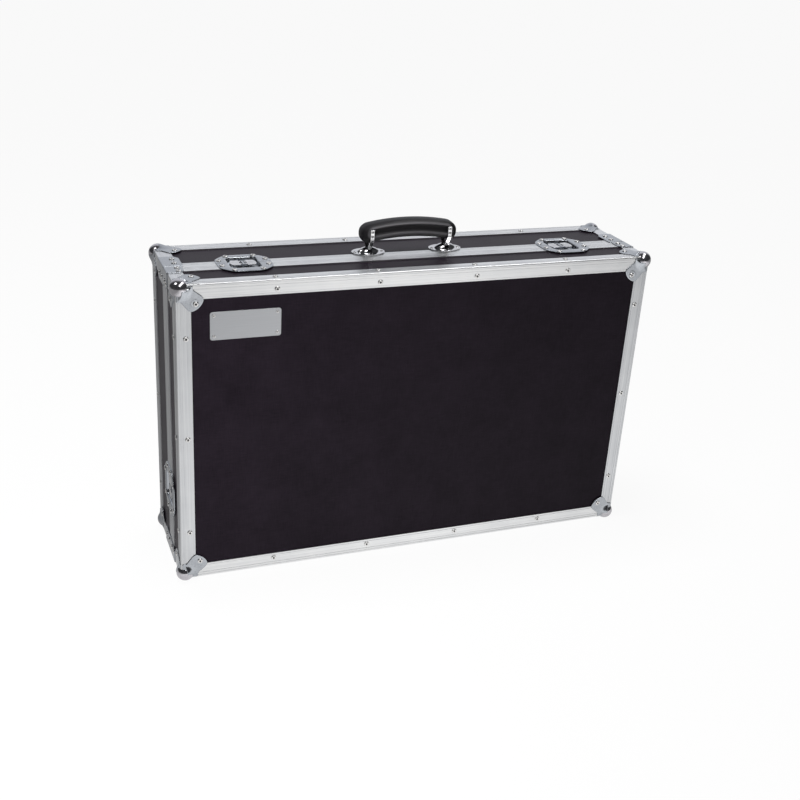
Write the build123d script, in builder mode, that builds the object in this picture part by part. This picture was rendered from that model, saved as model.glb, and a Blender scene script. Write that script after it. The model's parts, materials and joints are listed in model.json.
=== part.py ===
"""Flight case for a mixing controller: a riveted plywood case with a lift-off lid.

The case stands upright on its ball corners, as it is carried. X runs along the long side, -Y faces
the lid and +Z is up. The origin is under the middle of the case, level with the lowest ball corners.
Depths into a wall are counted from the apex planes, the six planes of the aluminium's outer faces.
"""

import os
from math import acos, atan2, cos, hypot, sin

from build123d import *

# Overall size between the apex planes
WIDTH = 732.0
DEPTH = 177.0
HEIGHT = 460.0
LID_DEPTH = 77.0

# Sheet goods
SKIN = 1.5
BOARD = 7.0
STEEL = 1.2
FOAM_BED = 20.0
FOAM_WALL = 24.0
FOAM_GAP = 0.3

# Edge angles: leg on the big face, leg on the side faces
LID_FACE_LEG = 22.0
LID_SIDE_LEG = 18.0
BASE_FACE_LEG = 22.0
BASE_SIDE_LEG = 25.0
DEPTH_LEG = 21.0
APEX_ROUND = 2.0
GROOVE_WIDTH = 0.8
GROOVE_DEPTH = 0.35
LEG_GROOVES = (3.4, 7.0, 18.9)

# Closing extrusions, where the lid meets the base
LID_BAND = 22.0
BASE_BAND = 13.0
LID_INNER_BAND = 18.0
LID_WEB = 9.0
BASE_WEB = 2.0
GROOVE_MOUTH = 4.2
GROOVE_DEEP = 5.5
TONGUE_THICK = 3.8
TONGUE_LONG = 4.6
TONGUE_ROUND = 1.2
LID_BAND_GROOVES = (5.5, 10.0, 14.5)
BASE_BAND_GROOVES = (4.5, 8.5)

# Ball corners and corner brackets, measured inwards from the apex edges
BALL_RADIUS = 14.0
BALL_INSET = 7.5
LUG_SLIT = 2.0
LUG_NECK = (25.0, 8.0)
LUG_SHOULDER = (40.0, 19.5)
LUG_TIP = 33.5
LUG_RIVET = 28.2
BRACKET_LEG = {"lid": 24.0, "base": 27.0}
BRACKET_LONG = {"lid": 28.0, "base": 43.5}
BRACKET_TAPER = {"lid": (5.0, 7.0), "base": (7.0, 8.0)}
BRACKET_RIVETS = {"lid": (8.5, 22.5), "base": (13.0, 31.0)}
BRACKET_RIVET_IN = 16.5
BRACKET_GAP = 0.4
BRACKET_BEND = 2.4

# Rivet heads, eight-sided
RIVET_RADIUS = 4.0
RIVET_HEIGHT = 1.5
SMALL_RIVET_RADIUS = 2.3
SMALL_RIVET_HEIGHT = 0.9
RIVET_SIDES = 8
RIVET_TAPER = 40.0
RIVETS_ALONG = {"top": (-225.0, -75.0, 75.0, 225.0), "left": (-152.0, 0.0, 152.0)}
RIVETS_ALONG["bottom"] = RIVETS_ALONG["top"]
RIVETS_ALONG["right"] = RIVETS_ALONG["left"]
FACE_RIVET_IN = 14.3
LID_SIDE_RIVET_IN = 11.5
BASE_SIDE_RIVET_IN = 13.4

# Nameplate, left bare
NAMEPLATE_WIDE = 100.0
NAMEPLATE_HIGH = 41.0
NAMEPLATE_THICK = 1.0
NAMEPLATE_LEFT = 47.3
NAMEPLATE_DOWN = 42.0
NAMEPLATE_ROUND = 3.7
NAMEPLATE_RIVET_IN = 5.5

# Handle, with heights above the top of the case
HANDLE_SPACING = 123.0
HANDLE_IN = 95.0
PLATE_LONG = 51.0
PLATE_DEEP = 36.0
PLATE_THICK = 1.5
PLATE_RIVET_OUT = 21.0
DOME_LONG = 34.0
DOME_RADIUS = 9.0
STRAP_SLOT = 7.4
PIVOT_HEIGHT = 5.2
PIVOT_RADIUS = 2.0
PIVOT_LONG = 15.2
RUNNING_GAP = 0.05
STRAP_WIDE = 6.0
STRAP_THICK = 1.8
STRAP_TOP = 38.0
STRAP_KNEE = 22.0
STRAP_RIVETS = (28.5, 35.0)
GRIP_DEEP = 30.0
GRIP_HALF = 76.0
GRIP_SHOULDER = 63.0
GRIP_TOP_END = 45.5
GRIP_TOP_MIDDLE = 51.0
GRIP_BOTTOM_END = 19.5
GRIP_BOTTOM_MIDDLE = 25.5
GRIP_ROUND = 7.0
GRIP_END_ROUND = 10.0
HOLLOW_IN = 7.6
HOLLOW_HALF = 55.0
HOLLOW_DEEP = 2.4
HOLLOW_ROUND = 3.0
HOLLOW_LIP = 0.9

# Butterfly latches: their place along each side, and sizes across the joint line
LATCHES = {
    "top_left": ("top", -253.5),
    "top_right": ("top", 253.5),
    "left": ("left", -117.0),
    "right": ("right", 117.0),
}
DISH_HALF = 39.5
DISH_TO_LID = 38.5
DISH_TO_BASE = 36.0
DISH_CHAMFER = 18.0
DISH_ROUND = 20.0
DISH_SPLIT = 0.3
PAN_HALF = 21.5
PAN_TO_LID = 22.0
PAN_TO_BASE = 25.5
PAN_ROUND = 8.0
PAN_DEEP = 8.4
PAN_WALL = 1.0
POCKET_GAP = 0.1
DISH_RIVETS = {
    "lid": ((-33.5, -11.0), (33.5, -11.0), (-20.5, -32.0), (20.5, -32.0)),
    "base": ((-33.5, 12.0), (33.5, 12.0), (-20.0, 29.5), (20.0, 29.5)),
}

# Latch works, with levels counted outwards from the apex plane
SPINDLE_BEHIND = 5.5
SHAFT_RADIUS = 3.0
NECK_RADIUS = 2.0
CAM_RADIUS = 4.6
CAM_THROW = 3.6
HOOK_SLACK = 1.2
HOOK_SIDE_GAP = 0.3
HOOK_RAIL = 3.0
HOOK_NOSE_HALF = 7.0
HOOK_NOSE = 14.2
HOOK_NOSE_ROUND = 2.5
HOOK_LEVELS = (-5.8, -4.2)
PAD_TOP = -5.95
PAD_HALF = 12.5
PAD_LONG = 22.0
KEEPER_LIP = (10.6, 12.2)
KEEPER_HALF = 11.0
KEEPER_TOP = -6.0
SHAFT_END = -8.3
DISC_RADIUS = 9.0
DISC_LEVELS = (-4.05, -2.9)
WING_PIVOT = 3.4
WING_LEVEL = -1.8
WING_THICK = 1.7
WING_REACH = 19.0
WING_HALF = 10.5
WING_ROOT = 5.3
WING_ROOT_HALF = 6.4
WING_PIN_RADIUS = 0.5
WING_EAR = 3.4
THUMB_DISH_OUT = 12.0
THUMB_DISH_SPHERE = 26.0
THUMB_DISH_DEEP = 0.8
YOKE_BARS = (6.55, 8.4)
YOKE_BAR_HALF = 4.9
YOKE_SPINE_HALF = 1.7

# Values that follow from the ones above
BOTTOM = BALL_RADIUS - BALL_INSET
TOP = BOTTOM + HEIGHT
MIDDLE = BOTTOM + HEIGHT / 2
RIGHT = WIDTH / 2
LEFT = -RIGHT
FRONT = -DEPTH / 2
REAR = DEPTH / 2
PARTING = FRONT + LID_DEPTH
WALL_IN = SKIN + BOARD
CLOSING_IN = WALL_IN + SKIN
SPINDLE_Y = PARTING + SPINDLE_BEHIND
HOOK_HALF = CAM_RADIUS + CAM_THROW + HOOK_SIDE_GAP + HOOK_RAIL

# Each side face has a frame of its own, with X along the side and Z outwards
SIDES = {
    "top": Location((0, 0, TOP), (0, 0, 0)),
    "bottom": Location((0, 0, BOTTOM), (0, 180, 0)),
    "left": Location((LEFT, 0, MIDDLE), (0, -90, 0)),
    "right": Location((RIGHT, 0, MIDDLE), (0, 90, 0)),
}
SIDE_LENGTH = {"top": WIDTH, "bottom": WIDTH, "left": HEIGHT, "right": HEIGHT}
SIDE_PAIRS = {"long": ("top", "bottom"), "short": ("left", "right")}


def finish(piece, name):
    """Labels a finished piece and writes it as its own node."""
    piece.part.label = name
    export_step(piece.part, f"parts/{name}.step")


def strip(first, second, low, high, mode=Mode.ADD):
    """A rectangle in a sketch, between two values of each sketch axis."""
    with Locations(((first + second) / 2, (low + high) / 2)):
        Rectangle(abs(second - first), abs(high - low), mode=mode)


def block(x, y, z, mode=Mode.ADD):
    """A box in a part, between two values of each axis."""
    with Locations(((x[0] + x[1]) / 2, (y[0] + y[1]) / 2, (z[0] + z[1]) / 2)):
        Box(abs(x[1] - x[0]), abs(y[1] - y[0]), abs(z[1] - z[0]), mode=mode)


def angle_section(edge, inward, face_leg, side_leg):
    """An L of edge angle, in the YZ plane of a side's frame, with its fine lengthwise grooves."""
    with BuildSketch(Plane.YZ) as section:
        strip(edge, edge + inward * side_leg, -SKIN, 0)
        strip(edge, edge + inward * SKIN, -face_leg, 0)
        apex = section.vertices().sort_by_distance((edge, 0, 0))[0]
        fillet(apex, APEX_ROUND)
        for place in LEG_GROOVES:
            strip(edge, edge + inward * GROOVE_DEPTH, -place - GROOVE_WIDTH, -place, Mode.SUBTRACT)
            if place + GROOVE_WIDTH < side_leg:
                near = edge + inward * place
                strip(near, near + inward * GROOVE_WIDTH, -GROOVE_DEPTH, 0, Mode.SUBTRACT)
    return section.sketch


def lid_closing_section():
    """The lid's closing extrusion: a channel for the board and a groove for the tongue."""
    groove = CLOSING_IN / 2
    with BuildSketch(Plane.YZ) as section:
        strip(PARTING - LID_BAND, PARTING, -SKIN, 0)
        strip(PARTING - LID_INNER_BAND, PARTING, -CLOSING_IN, -WALL_IN)
        strip(PARTING - LID_WEB, PARTING, -CLOSING_IN, 0)
        strip(
            PARTING - GROOVE_DEEP,
            PARTING,
            -groove - GROOVE_MOUTH / 2,
            -groove + GROOVE_MOUTH / 2,
            Mode.SUBTRACT,
        )
        for place in LID_BAND_GROOVES:
            strip(PARTING - place - GROOVE_WIDTH, PARTING - place, -GROOVE_DEPTH, 0, Mode.SUBTRACT)
    return section.sketch


def base_closing_section():
    """The base's closing extrusion: a channel for the board and a rounded tongue."""
    tongue = CLOSING_IN / 2
    with BuildSketch(Plane.YZ) as section:
        strip(PARTING, PARTING + BASE_BAND, -SKIN, 0)
        strip(PARTING, PARTING + BASE_BAND, -CLOSING_IN, -WALL_IN)
        strip(PARTING, PARTING + BASE_WEB, -CLOSING_IN, 0)
        strip(PARTING - TONGUE_LONG, PARTING, -tongue - TONGUE_THICK / 2, -tongue + TONGUE_THICK / 2)
        fillet(section.vertices().group_by(Axis.X)[0], TONGUE_ROUND)
        for place in BASE_BAND_GROOVES:
            strip(PARTING + place, PARTING + place + GROOVE_WIDTH, -GROOVE_DEPTH, 0, Mode.SUBTRACT)
    return section.sketch


def mitred_bar(section, length):
    """One side of a frame, both ends cut at 45 degrees from the apex edges inwards."""
    with BuildPart() as bar:
        extrude(to_extrude=section, amount=length / 2, both=True)
        for end in (-1, 1):
            cut = Plane(origin=(end * length / 2, 0, 0), z_dir=(end, 0, -1))
            split(bisect_by=cut, keep=Keep.BOTTOM)
    return bar.part


def pan_outline(level, gap):
    """The sunk part of a latch in its side's frame, grown all round by a gap."""
    low = PARTING - PAN_TO_LID - gap
    high = PARTING + PAN_TO_BASE + gap
    with BuildSketch(Plane((0, (low + high) / 2, level))) as outline:
        RectangleRounded(2 * (PAN_HALF + gap), high - low, PAN_ROUND + gap)
    return outline.sketch


def pocket():
    """The hole that a latch needs, right through a board and a closing extrusion."""
    with BuildPart() as hole:
        extrude(to_extrude=pan_outline(STEEL, PAN_WALL + POCKET_GAP), amount=-STEEL - CLOSING_IN)
    return hole.part


def cut_pockets(side, hole):
    """Cuts the pockets of a side's latches out of the piece being built."""
    for latch_side, along in LATCHES.values():
        if latch_side == side:
            with Locations(SIDES[side] * Location((along, 0, 0))):
                add(hole, mode=Mode.SUBTRACT)


def rivet_head(radius, height):
    """A rivet head on the XY plane, its rim bevelled to a flat crown."""
    with BuildPart() as head:
        with BuildSketch():
            RegularPolygon(radius, RIVET_SIDES)
        extrude(amount=height, taper=RIVET_TAPER)
    return head.part


def bracket(body, towards):
    """The bent steel bracket on the top left edge, beside the joint line."""
    leg = BRACKET_LEG[body]
    across, along = BRACKET_TAPER[body]
    near = PARTING + towards * BRACKET_GAP
    far = PARTING + towards * BRACKET_LONG[body]
    outline = [
        (-STEEL, near),
        (leg, near),
        (leg, far - towards * along),
        (leg - across, far),
        (-STEEL, far),
    ]
    with BuildPart() as bent:
        with BuildSketch(Plane((LEFT, 0, TOP))):
            with BuildLine():
                Polyline(*outline, close=True)
            make_face()
        extrude(amount=STEEL)
        with BuildSketch(Plane((LEFT, 0, TOP), x_dir=(0, 0, -1), z_dir=(1, 0, 0))):
            with BuildLine():
                Polyline(*outline, close=True)
            make_face()
        extrude(amount=-STEEL)
        bend = (LEFT - STEEL, near, TOP + STEEL)
        fillet(bent.edges().filter_by(Axis.Y).sort_by_distance(bend)[0], BRACKET_BEND)
    return bent.part


def lug_outline(plane):
    """One fan-shaped lug of a ball corner, drawn from the corner's apex."""
    with BuildSketch(plane) as outline:
        with BuildLine():
            Polyline(
                LUG_SHOULDER[::-1],
                LUG_NECK[::-1],
                (LUG_SLIT, LUG_NECK[0]),
                (LUG_SLIT, LUG_SLIT),
                (LUG_NECK[0], LUG_SLIT),
                LUG_NECK,
                LUG_SHOULDER,
            )
            ThreePointArc(LUG_SHOULDER, (LUG_TIP, LUG_TIP), LUG_SHOULDER[::-1])
        make_face()
    return outline.sketch


def ball_corner():
    """The ball corner at the lid's top left, hollow where the corner of the case sits."""
    apex = (LEFT, FRONT, TOP)
    on_top = lug_outline(Plane(apex, x_dir=(1, 0, 0), z_dir=(0, 0, 1)))
    on_face = lug_outline(Plane(apex, x_dir=(1, 0, 0), z_dir=(0, 1, 0)))
    on_end = lug_outline(Plane(apex, x_dir=(0, 1, 0), z_dir=(-1, 0, 0)))
    with BuildPart() as corner:
        with Locations((LEFT + BALL_INSET, FRONT + BALL_INSET, TOP - BALL_INSET)):
            Sphere(BALL_RADIUS)
        extrude(to_extrude=on_top, amount=STEEL)
        extrude(to_extrude=on_face, amount=-STEEL)
        extrude(to_extrude=on_end, amount=STEEL)
        block((LEFT, LEFT + WIDTH), (FRONT, REAR), (TOP - HEIGHT, TOP), Mode.SUBTRACT)
    return corner.part


def edge_rivet_places(edge, inward, side_in):
    """Rivets of one edge frame: a row on the big face and a row on the sides."""
    turn = 90 * inward
    places = []
    for side, stations in RIVETS_ALONG.items():
        for along in stations:
            on_side = SIDES[side] * Location((along, edge + inward * side_in, 0))
            on_face = SIDES[side] * Location((along, edge, -FACE_RIVET_IN))
            places.append(on_side)
            places.append(Location(on_face.position, (turn, 0, 0)))
    return places


def corner_rivet_places(edge, inward):
    """One rivet on each lug of the four ball corners at one edge frame."""
    places = []
    for side in SIDES:
        half = SIDE_LENGTH[side] / 2
        for end in (-1, 1):
            along = end * (half - LUG_RIVET)
            places.append(SIDES[side] * Location((along, edge + inward * LUG_RIVET, STEEL)))
    for x in (LEFT + LUG_RIVET, RIGHT - LUG_RIVET):
        for z in (BOTTOM + LUG_RIVET, TOP - LUG_RIVET):
            places.append(Location((x, edge - inward * STEEL, z), (90 * inward, 0, 0)))
    return places


def bracket_rivet_places(body, towards):
    """Two rivets on each leg of the four corner brackets of the lid or the base."""
    places = []
    for side in SIDES:
        half = SIDE_LENGTH[side] / 2
        for end in (-1, 1):
            for out in BRACKET_RIVETS[body]:
                along = end * (half - BRACKET_RIVET_IN)
                places.append(SIDES[side] * Location((along, PARTING + towards * out, STEEL)))
    return places


def latch_rivet_places(body):
    """The rivets round one half of each latch."""
    places = []
    for side, along in LATCHES.values():
        for out, across in DISH_RIVETS[body]:
            places.append(SIDES[side] * Location((along + out, PARTING + across, STEEL)))
    return places


os.makedirs("parts", exist_ok=True)

# Boards of laminated plywood: the big ones cover a whole face, the side ones stand between
FACE_BOARDS = {
    "lid_front_board": (FRONT + SKIN, FRONT + WALL_IN),
    "base_back_board": (REAR - WALL_IN, REAR - SKIN),
}
for name, depths in FACE_BOARDS.items():
    with BuildPart() as board:
        block((LEFT + SKIN, RIGHT - SKIN), depths, (BOTTOM + SKIN, TOP - SKIN))
    finish(board, name)

LATCH_POCKET = pocket()
BOARD_SPANS = {
    "lid": (FRONT + WALL_IN, PARTING - LID_WEB),
    "base": (PARTING + BASE_WEB, REAR - WALL_IN),
}
for body, span in BOARD_SPANS.items():
    for kind, pair in SIDE_PAIRS.items():
        inset = SKIN if kind == "long" else WALL_IN
        half = SIDE_LENGTH[pair[0]] / 2 - inset
        with BuildPart() as flat:
            block((-half, half), span, (-WALL_IN, -SKIN))
        for side in pair:
            with BuildPart() as board:
                with Locations(SIDES[side]):
                    add(flat.part)
                cut_pockets(side, LATCH_POCKET)
            finish(board, f"{body}_{side}_board")

# Aluminium frames: edge angles round the big faces, closing extrusions round the joint
FRAMES = {
    "lid_edge_angles": angle_section(FRONT, 1, LID_FACE_LEG, LID_SIDE_LEG),
    "base_edge_angles": angle_section(REAR, -1, BASE_FACE_LEG, BASE_SIDE_LEG),
    "lid_closing_frame": lid_closing_section(),
    "base_closing_frame": base_closing_section(),
}
for name, section in FRAMES.items():
    for kind, pair in SIDE_PAIRS.items():
        bar = mitred_bar(section, SIDE_LENGTH[pair[0]])
        with BuildPart() as bars:
            with Locations(*[SIDES[side] for side in pair]):
                add(bar)
            for side in pair:
                cut_pockets(side, LATCH_POCKET)
        finish(bars, f"{name}_{kind}")

# Short angles along the four depth edges, butted between the frames
DEPTH_SPANS = {
    "lid_depth_angles": (FRONT + LID_SIDE_LEG, PARTING - LID_BAND),
    "base_depth_angles": (PARTING + BASE_BAND, REAR - BASE_SIDE_LEG),
}
for name, (near, far) in DEPTH_SPANS.items():
    with BuildPart() as angles:
        with BuildSketch(Plane.XZ.offset(-far)) as section:
            strip(LEFT, LEFT + DEPTH_LEG, TOP - SKIN, TOP)
            strip(LEFT, LEFT + SKIN, TOP - DEPTH_LEG, TOP)
            fillet(section.vertices().sort_by_distance((LEFT, TOP, 0))[0], APEX_ROUND)
        extrude(amount=far - near)
        mirror(about=Plane.YZ)
        mirror(about=Plane.XY.offset(MIDDLE))
    finish(angles, name)

# Steel brackets over the mitres of the closing extrusions
for body, towards in (("lid", -1), ("base", 1)):
    bent = bracket(body, towards)
    with BuildPart() as brackets:
        add(bent)
        mirror(about=Plane.YZ)
        mirror(about=Plane.XY.offset(MIDDLE))
    finish(brackets, f"{body}_corner_brackets")

# Ball corners, four on the lid and four on the base
BALL = ball_corner()
for body in ("lid", "base"):
    with BuildPart() as corners:
        add(BALL)
        mirror(about=Plane.YZ)
        mirror(about=Plane.XY.offset(MIDDLE))
        if body == "base":
            mirror(about=Plane.XZ, mode=Mode.REPLACE)
    finish(corners, f"{body}_ball_corners")

# Foam: a pad in the lid, and in the base a bed between four walls
with BuildPart() as lid_foam_pad:
    block(
        (LEFT + WALL_IN + FOAM_GAP, RIGHT - WALL_IN - FOAM_GAP),
        (FRONT + WALL_IN, FRONT + WALL_IN + FOAM_BED),
        (BOTTOM + WALL_IN + FOAM_GAP, TOP - WALL_IN - FOAM_GAP),
    )
finish(lid_foam_pad, "lid_foam_pad")

BED_IN = WALL_IN + FOAM_GAP + FOAM_WALL + FOAM_GAP
with BuildPart() as base_foam_bed:
    block(
        (LEFT + BED_IN, RIGHT - BED_IN),
        (REAR - WALL_IN - FOAM_BED, REAR - WALL_IN),
        (BOTTOM + BED_IN, TOP - BED_IN),
    )
finish(base_foam_bed, "base_foam_bed")

FOAM_SPAN = (PARTING + BASE_BAND + FOAM_GAP, REAR - WALL_IN)
with BuildPart() as base_foam_walls:
    for kind, pair in SIDE_PAIRS.items():
        inset = BED_IN if kind == "short" else WALL_IN + FOAM_GAP
        half = SIDE_LENGTH[pair[0]] / 2 - inset
        middle = Location((0, sum(FOAM_SPAN) / 2, -WALL_IN - FOAM_GAP - FOAM_WALL / 2))
        with Locations(*[SIDES[side] * middle for side in pair]):
            Box(2 * half, FOAM_SPAN[1] - FOAM_SPAN[0], FOAM_WALL)
finish(base_foam_walls, "base_foam_walls")

# Bare aluminium nameplate on the lid
PLATE_CENTRE = (
    LEFT + NAMEPLATE_LEFT + NAMEPLATE_WIDE / 2,
    TOP - NAMEPLATE_DOWN - NAMEPLATE_HIGH / 2,
)
with BuildPart() as nameplate:
    with BuildSketch(Plane.XZ.offset(-FRONT - SKIN)):
        with Locations(PLATE_CENTRE):
            RectangleRounded(NAMEPLATE_WIDE, NAMEPLATE_HIGH, NAMEPLATE_ROUND)
    extrude(amount=NAMEPLATE_THICK)
finish(nameplate, "nameplate")

# Rivets: big heads on the metalwork, small ones on the nameplate and the handle plates
HEAD = rivet_head(RIVET_RADIUS, RIVET_HEIGHT)
SMALL_HEAD = rivet_head(SMALL_RIVET_RADIUS, SMALL_RIVET_HEIGHT)
NAMEPLATE_RIVETS = [
    Location(
        (
            PLATE_CENTRE[0] + x * (NAMEPLATE_WIDE / 2 - NAMEPLATE_RIVET_IN),
            FRONT + SKIN - NAMEPLATE_THICK,
            PLATE_CENTRE[1] + z * (NAMEPLATE_HIGH / 2 - NAMEPLATE_RIVET_IN),
        ),
        (90, 0, 0),
    )
    for x in (-1, 1)
    for z in (-1, 1)
]
HANDLE_PLATES = [
    Location((end * HANDLE_SPACING / 2, FRONT + HANDLE_IN, TOP)) for end in (-1, 1)
]
HANDLE_PLATE_RIVETS = [
    place * Location((end * PLATE_RIVET_OUT, 0, PLATE_THICK))
    for place in HANDLE_PLATES
    for end in (-1, 1)
]
with BuildPart() as lid_rivets:
    with Locations(
        *edge_rivet_places(FRONT, 1, LID_SIDE_RIVET_IN),
        *corner_rivet_places(FRONT, 1),
        *bracket_rivet_places("lid", -1),
        *latch_rivet_places("lid"),
    ):
        add(HEAD)
    with Locations(*NAMEPLATE_RIVETS):
        add(SMALL_HEAD)
finish(lid_rivets, "lid_rivets")

with BuildPart() as base_rivets:
    with Locations(
        *edge_rivet_places(REAR, -1, BASE_SIDE_RIVET_IN),
        *corner_rivet_places(REAR, -1),
        *bracket_rivet_places("base", 1),
        *latch_rivet_places("base"),
    ):
        add(HEAD)
    with Locations(*HANDLE_PLATE_RIVETS):
        add(SMALL_HEAD)
finish(base_rivets, "base_rivets")

# Handle plates: an oval foot with a domed saddle, slotted for the strap
with BuildPart() as saddle:
    with BuildSketch(Plane.XZ):
        with BuildLine():
            crown = EllipticalCenterArc((0, 0), DOME_LONG / 2, DOME_RADIUS, start_angle=0, arc_size=180)
            Line(crown @ 0, crown @ 1)
        make_face()
    revolve(axis=Axis.X)
    split(bisect_by=Plane.XY, keep=Keep.TOP)
    with BuildSketch():
        Ellipse(PLATE_LONG / 2, PLATE_DEEP / 2)
    extrude(amount=PLATE_THICK)
    block(
        (-STRAP_SLOT / 2, STRAP_SLOT / 2),
        (-DOME_RADIUS - SKIN, DOME_RADIUS + SKIN),
        (0, 2 * DOME_RADIUS),
        Mode.SUBTRACT,
    )
    with Locations(Location((0, 0, PIVOT_HEIGHT), (0, 90, 0))):
        Cylinder(PIVOT_RADIUS, PIVOT_LONG, mode=Mode.SUBTRACT)
with BuildPart() as handle_plates:
    with Locations(*HANDLE_PLATES):
        add(saddle.part)
finish(handle_plates, "handle_plates")

with BuildPart() as handle_pins:
    with Locations(*[place * Location((0, 0, PIVOT_HEIGHT), (0, 90, 0)) for place in HANDLE_PLATES]):
        Cylinder(PIVOT_RADIUS, PIVOT_LONG)
finish(handle_pins, "handle_pins")

# Straps: a flat stirrup that runs down one side of the grip, under the pin and up the other side
with BuildPart() as stirrup:
    turn = PIVOT_RADIUS + RUNNING_GAP + STRAP_THICK / 2
    knee = (GRIP_DEEP / 2 + STRAP_THICK / 2, STRAP_KNEE)
    rise = knee[1] - PIVOT_HEIGHT
    tangent = atan2(rise, knee[0]) - acos(turn / hypot(knee[0], rise))
    touch = (turn * cos(tangent), PIVOT_HEIGHT + turn * sin(tangent))
    with BuildSketch(Plane.YZ):
        with BuildLine() as route:
            Polyline((knee[0], STRAP_TOP), knee, touch)
            ThreePointArc(touch, (0, PIVOT_HEIGHT - turn), (-touch[0], touch[1]))
            Polyline((-touch[0], touch[1]), (-knee[0], knee[1]), (-knee[0], STRAP_TOP))
        trace(route.line, line_width=STRAP_THICK)
    extrude(amount=STRAP_WIDE / 2, both=True)
with BuildPart() as handle_straps:
    with Locations(*HANDLE_PLATES):
        add(stirrup.part)
finish(handle_straps, "handle_straps")

with BuildPart() as handle_strap_rivets:
    for place in HANDLE_PLATES:
        for out in (-1, 1):
            for height in STRAP_RIVETS:
                spot = (0, out * (GRIP_DEEP / 2 + STRAP_THICK), height)
                with Locations(place * Location(spot, (-90 * out, 0, 0))):
                    add(SMALL_HEAD)
finish(handle_strap_rivets, "handle_strap_rivets")

# Grip: a padded, arched bar with rounded ends, and a hollow in each side face between the straps
GRIP_PLANE = Plane((0, FRONT + HANDLE_IN, TOP), x_dir=(1, 0, 0), z_dir=(0, -1, 0))
with BuildSketch(GRIP_PLANE) as side_view:
    with BuildLine():
        ThreePointArc((-GRIP_SHOULDER, GRIP_TOP_END), (0, GRIP_TOP_MIDDLE), (GRIP_SHOULDER, GRIP_TOP_END))
        ThreePointArc(
            (GRIP_SHOULDER, GRIP_TOP_END),
            (GRIP_HALF, (GRIP_TOP_END + GRIP_BOTTOM_END) / 2),
            (GRIP_SHOULDER, GRIP_BOTTOM_END),
        )
        ThreePointArc(
            (GRIP_SHOULDER, GRIP_BOTTOM_END), (0, GRIP_BOTTOM_MIDDLE), (-GRIP_SHOULDER, GRIP_BOTTOM_END)
        )
        ThreePointArc(
            (-GRIP_SHOULDER, GRIP_BOTTOM_END),
            (-GRIP_HALF, (GRIP_TOP_END + GRIP_BOTTOM_END) / 2),
            (-GRIP_SHOULDER, GRIP_TOP_END),
        )
    make_face()
    fillet(side_view.vertices(), GRIP_END_ROUND)
with BuildSketch(GRIP_PLANE) as hollow_view:
    add(side_view.sketch_local)
    offset(amount=-HOLLOW_IN, mode=Mode.REPLACE)
    strip(-HOLLOW_HALF, HOLLOW_HALF, GRIP_BOTTOM_END, GRIP_TOP_MIDDLE, Mode.INTERSECT)
    fillet(hollow_view.vertices(), HOLLOW_ROUND)
with BuildPart() as handle_grip:
    extrude(to_extrude=side_view.sketch, amount=GRIP_DEEP / 2, both=True)
    rims = handle_grip.faces().filter_by(Axis.Y).edges()
    fillet(rims, GRIP_ROUND)
    for out in (-1, 1):
        floor = Location((0, out * (GRIP_DEEP / 2 - HOLLOW_DEEP), 0))
        extrude(to_extrude=hollow_view.sketch.moved(floor), amount=-out * GRIP_DEEP, mode=Mode.SUBTRACT)
        mouth = handle_grip.edges(Select.LAST).group_by(Axis.Y)[-1 if out > 0 else 0]
        chamfer(mouth, HOLLOW_LIP)
finish(handle_grip, "handle_grip")

# Latch halves: a rim on the outside and a sunk pan, split at the joint line
with BuildPart() as whole_dish:
    with BuildSketch(Plane((0, PARTING + (DISH_TO_BASE - DISH_TO_LID) / 2, 0))) as rim:
        Rectangle(2 * DISH_HALF, DISH_TO_BASE + DISH_TO_LID)
        chamfer(rim.vertices(), DISH_CHAMFER)
        fillet(rim.vertices(), DISH_ROUND)
    extrude(amount=STEEL)
    extrude(to_extrude=pan_outline(0, PAN_WALL), amount=-PAN_DEEP)
    extrude(to_extrude=pan_outline(STEEL, 0), amount=PAN_WALL - PAN_DEEP - STEEL, mode=Mode.SUBTRACT)

PAN_FLOOR = PAN_WALL - PAN_DEEP
with BuildPart() as keeper_half:
    add(whole_dish.part)
    split(bisect_by=Plane.XZ.offset(-PARTING + DISH_SPLIT), keep=Keep.TOP)
    block(
        (-KEEPER_HALF, KEEPER_HALF),
        (PARTING - KEEPER_LIP[1], PARTING - KEEPER_LIP[0]),
        (PAN_FLOOR, KEEPER_TOP),
    )

with BuildPart() as works_half:
    add(whole_dish.part)
    split(bisect_by=Plane.XZ.offset(-PARTING - DISH_SPLIT), keep=Keep.BOTTOM)
    block((-PAD_HALF, PAD_HALF), (PARTING + DISH_SPLIT, PARTING + PAD_LONG), (PAN_FLOOR, PAD_TOP))
    with Locations((0, SPINDLE_Y, PAN_FLOOR)):
        Cylinder(SHAFT_RADIUS + RUNNING_GAP, PAN_DEEP, mode=Mode.SUBTRACT)

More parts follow.
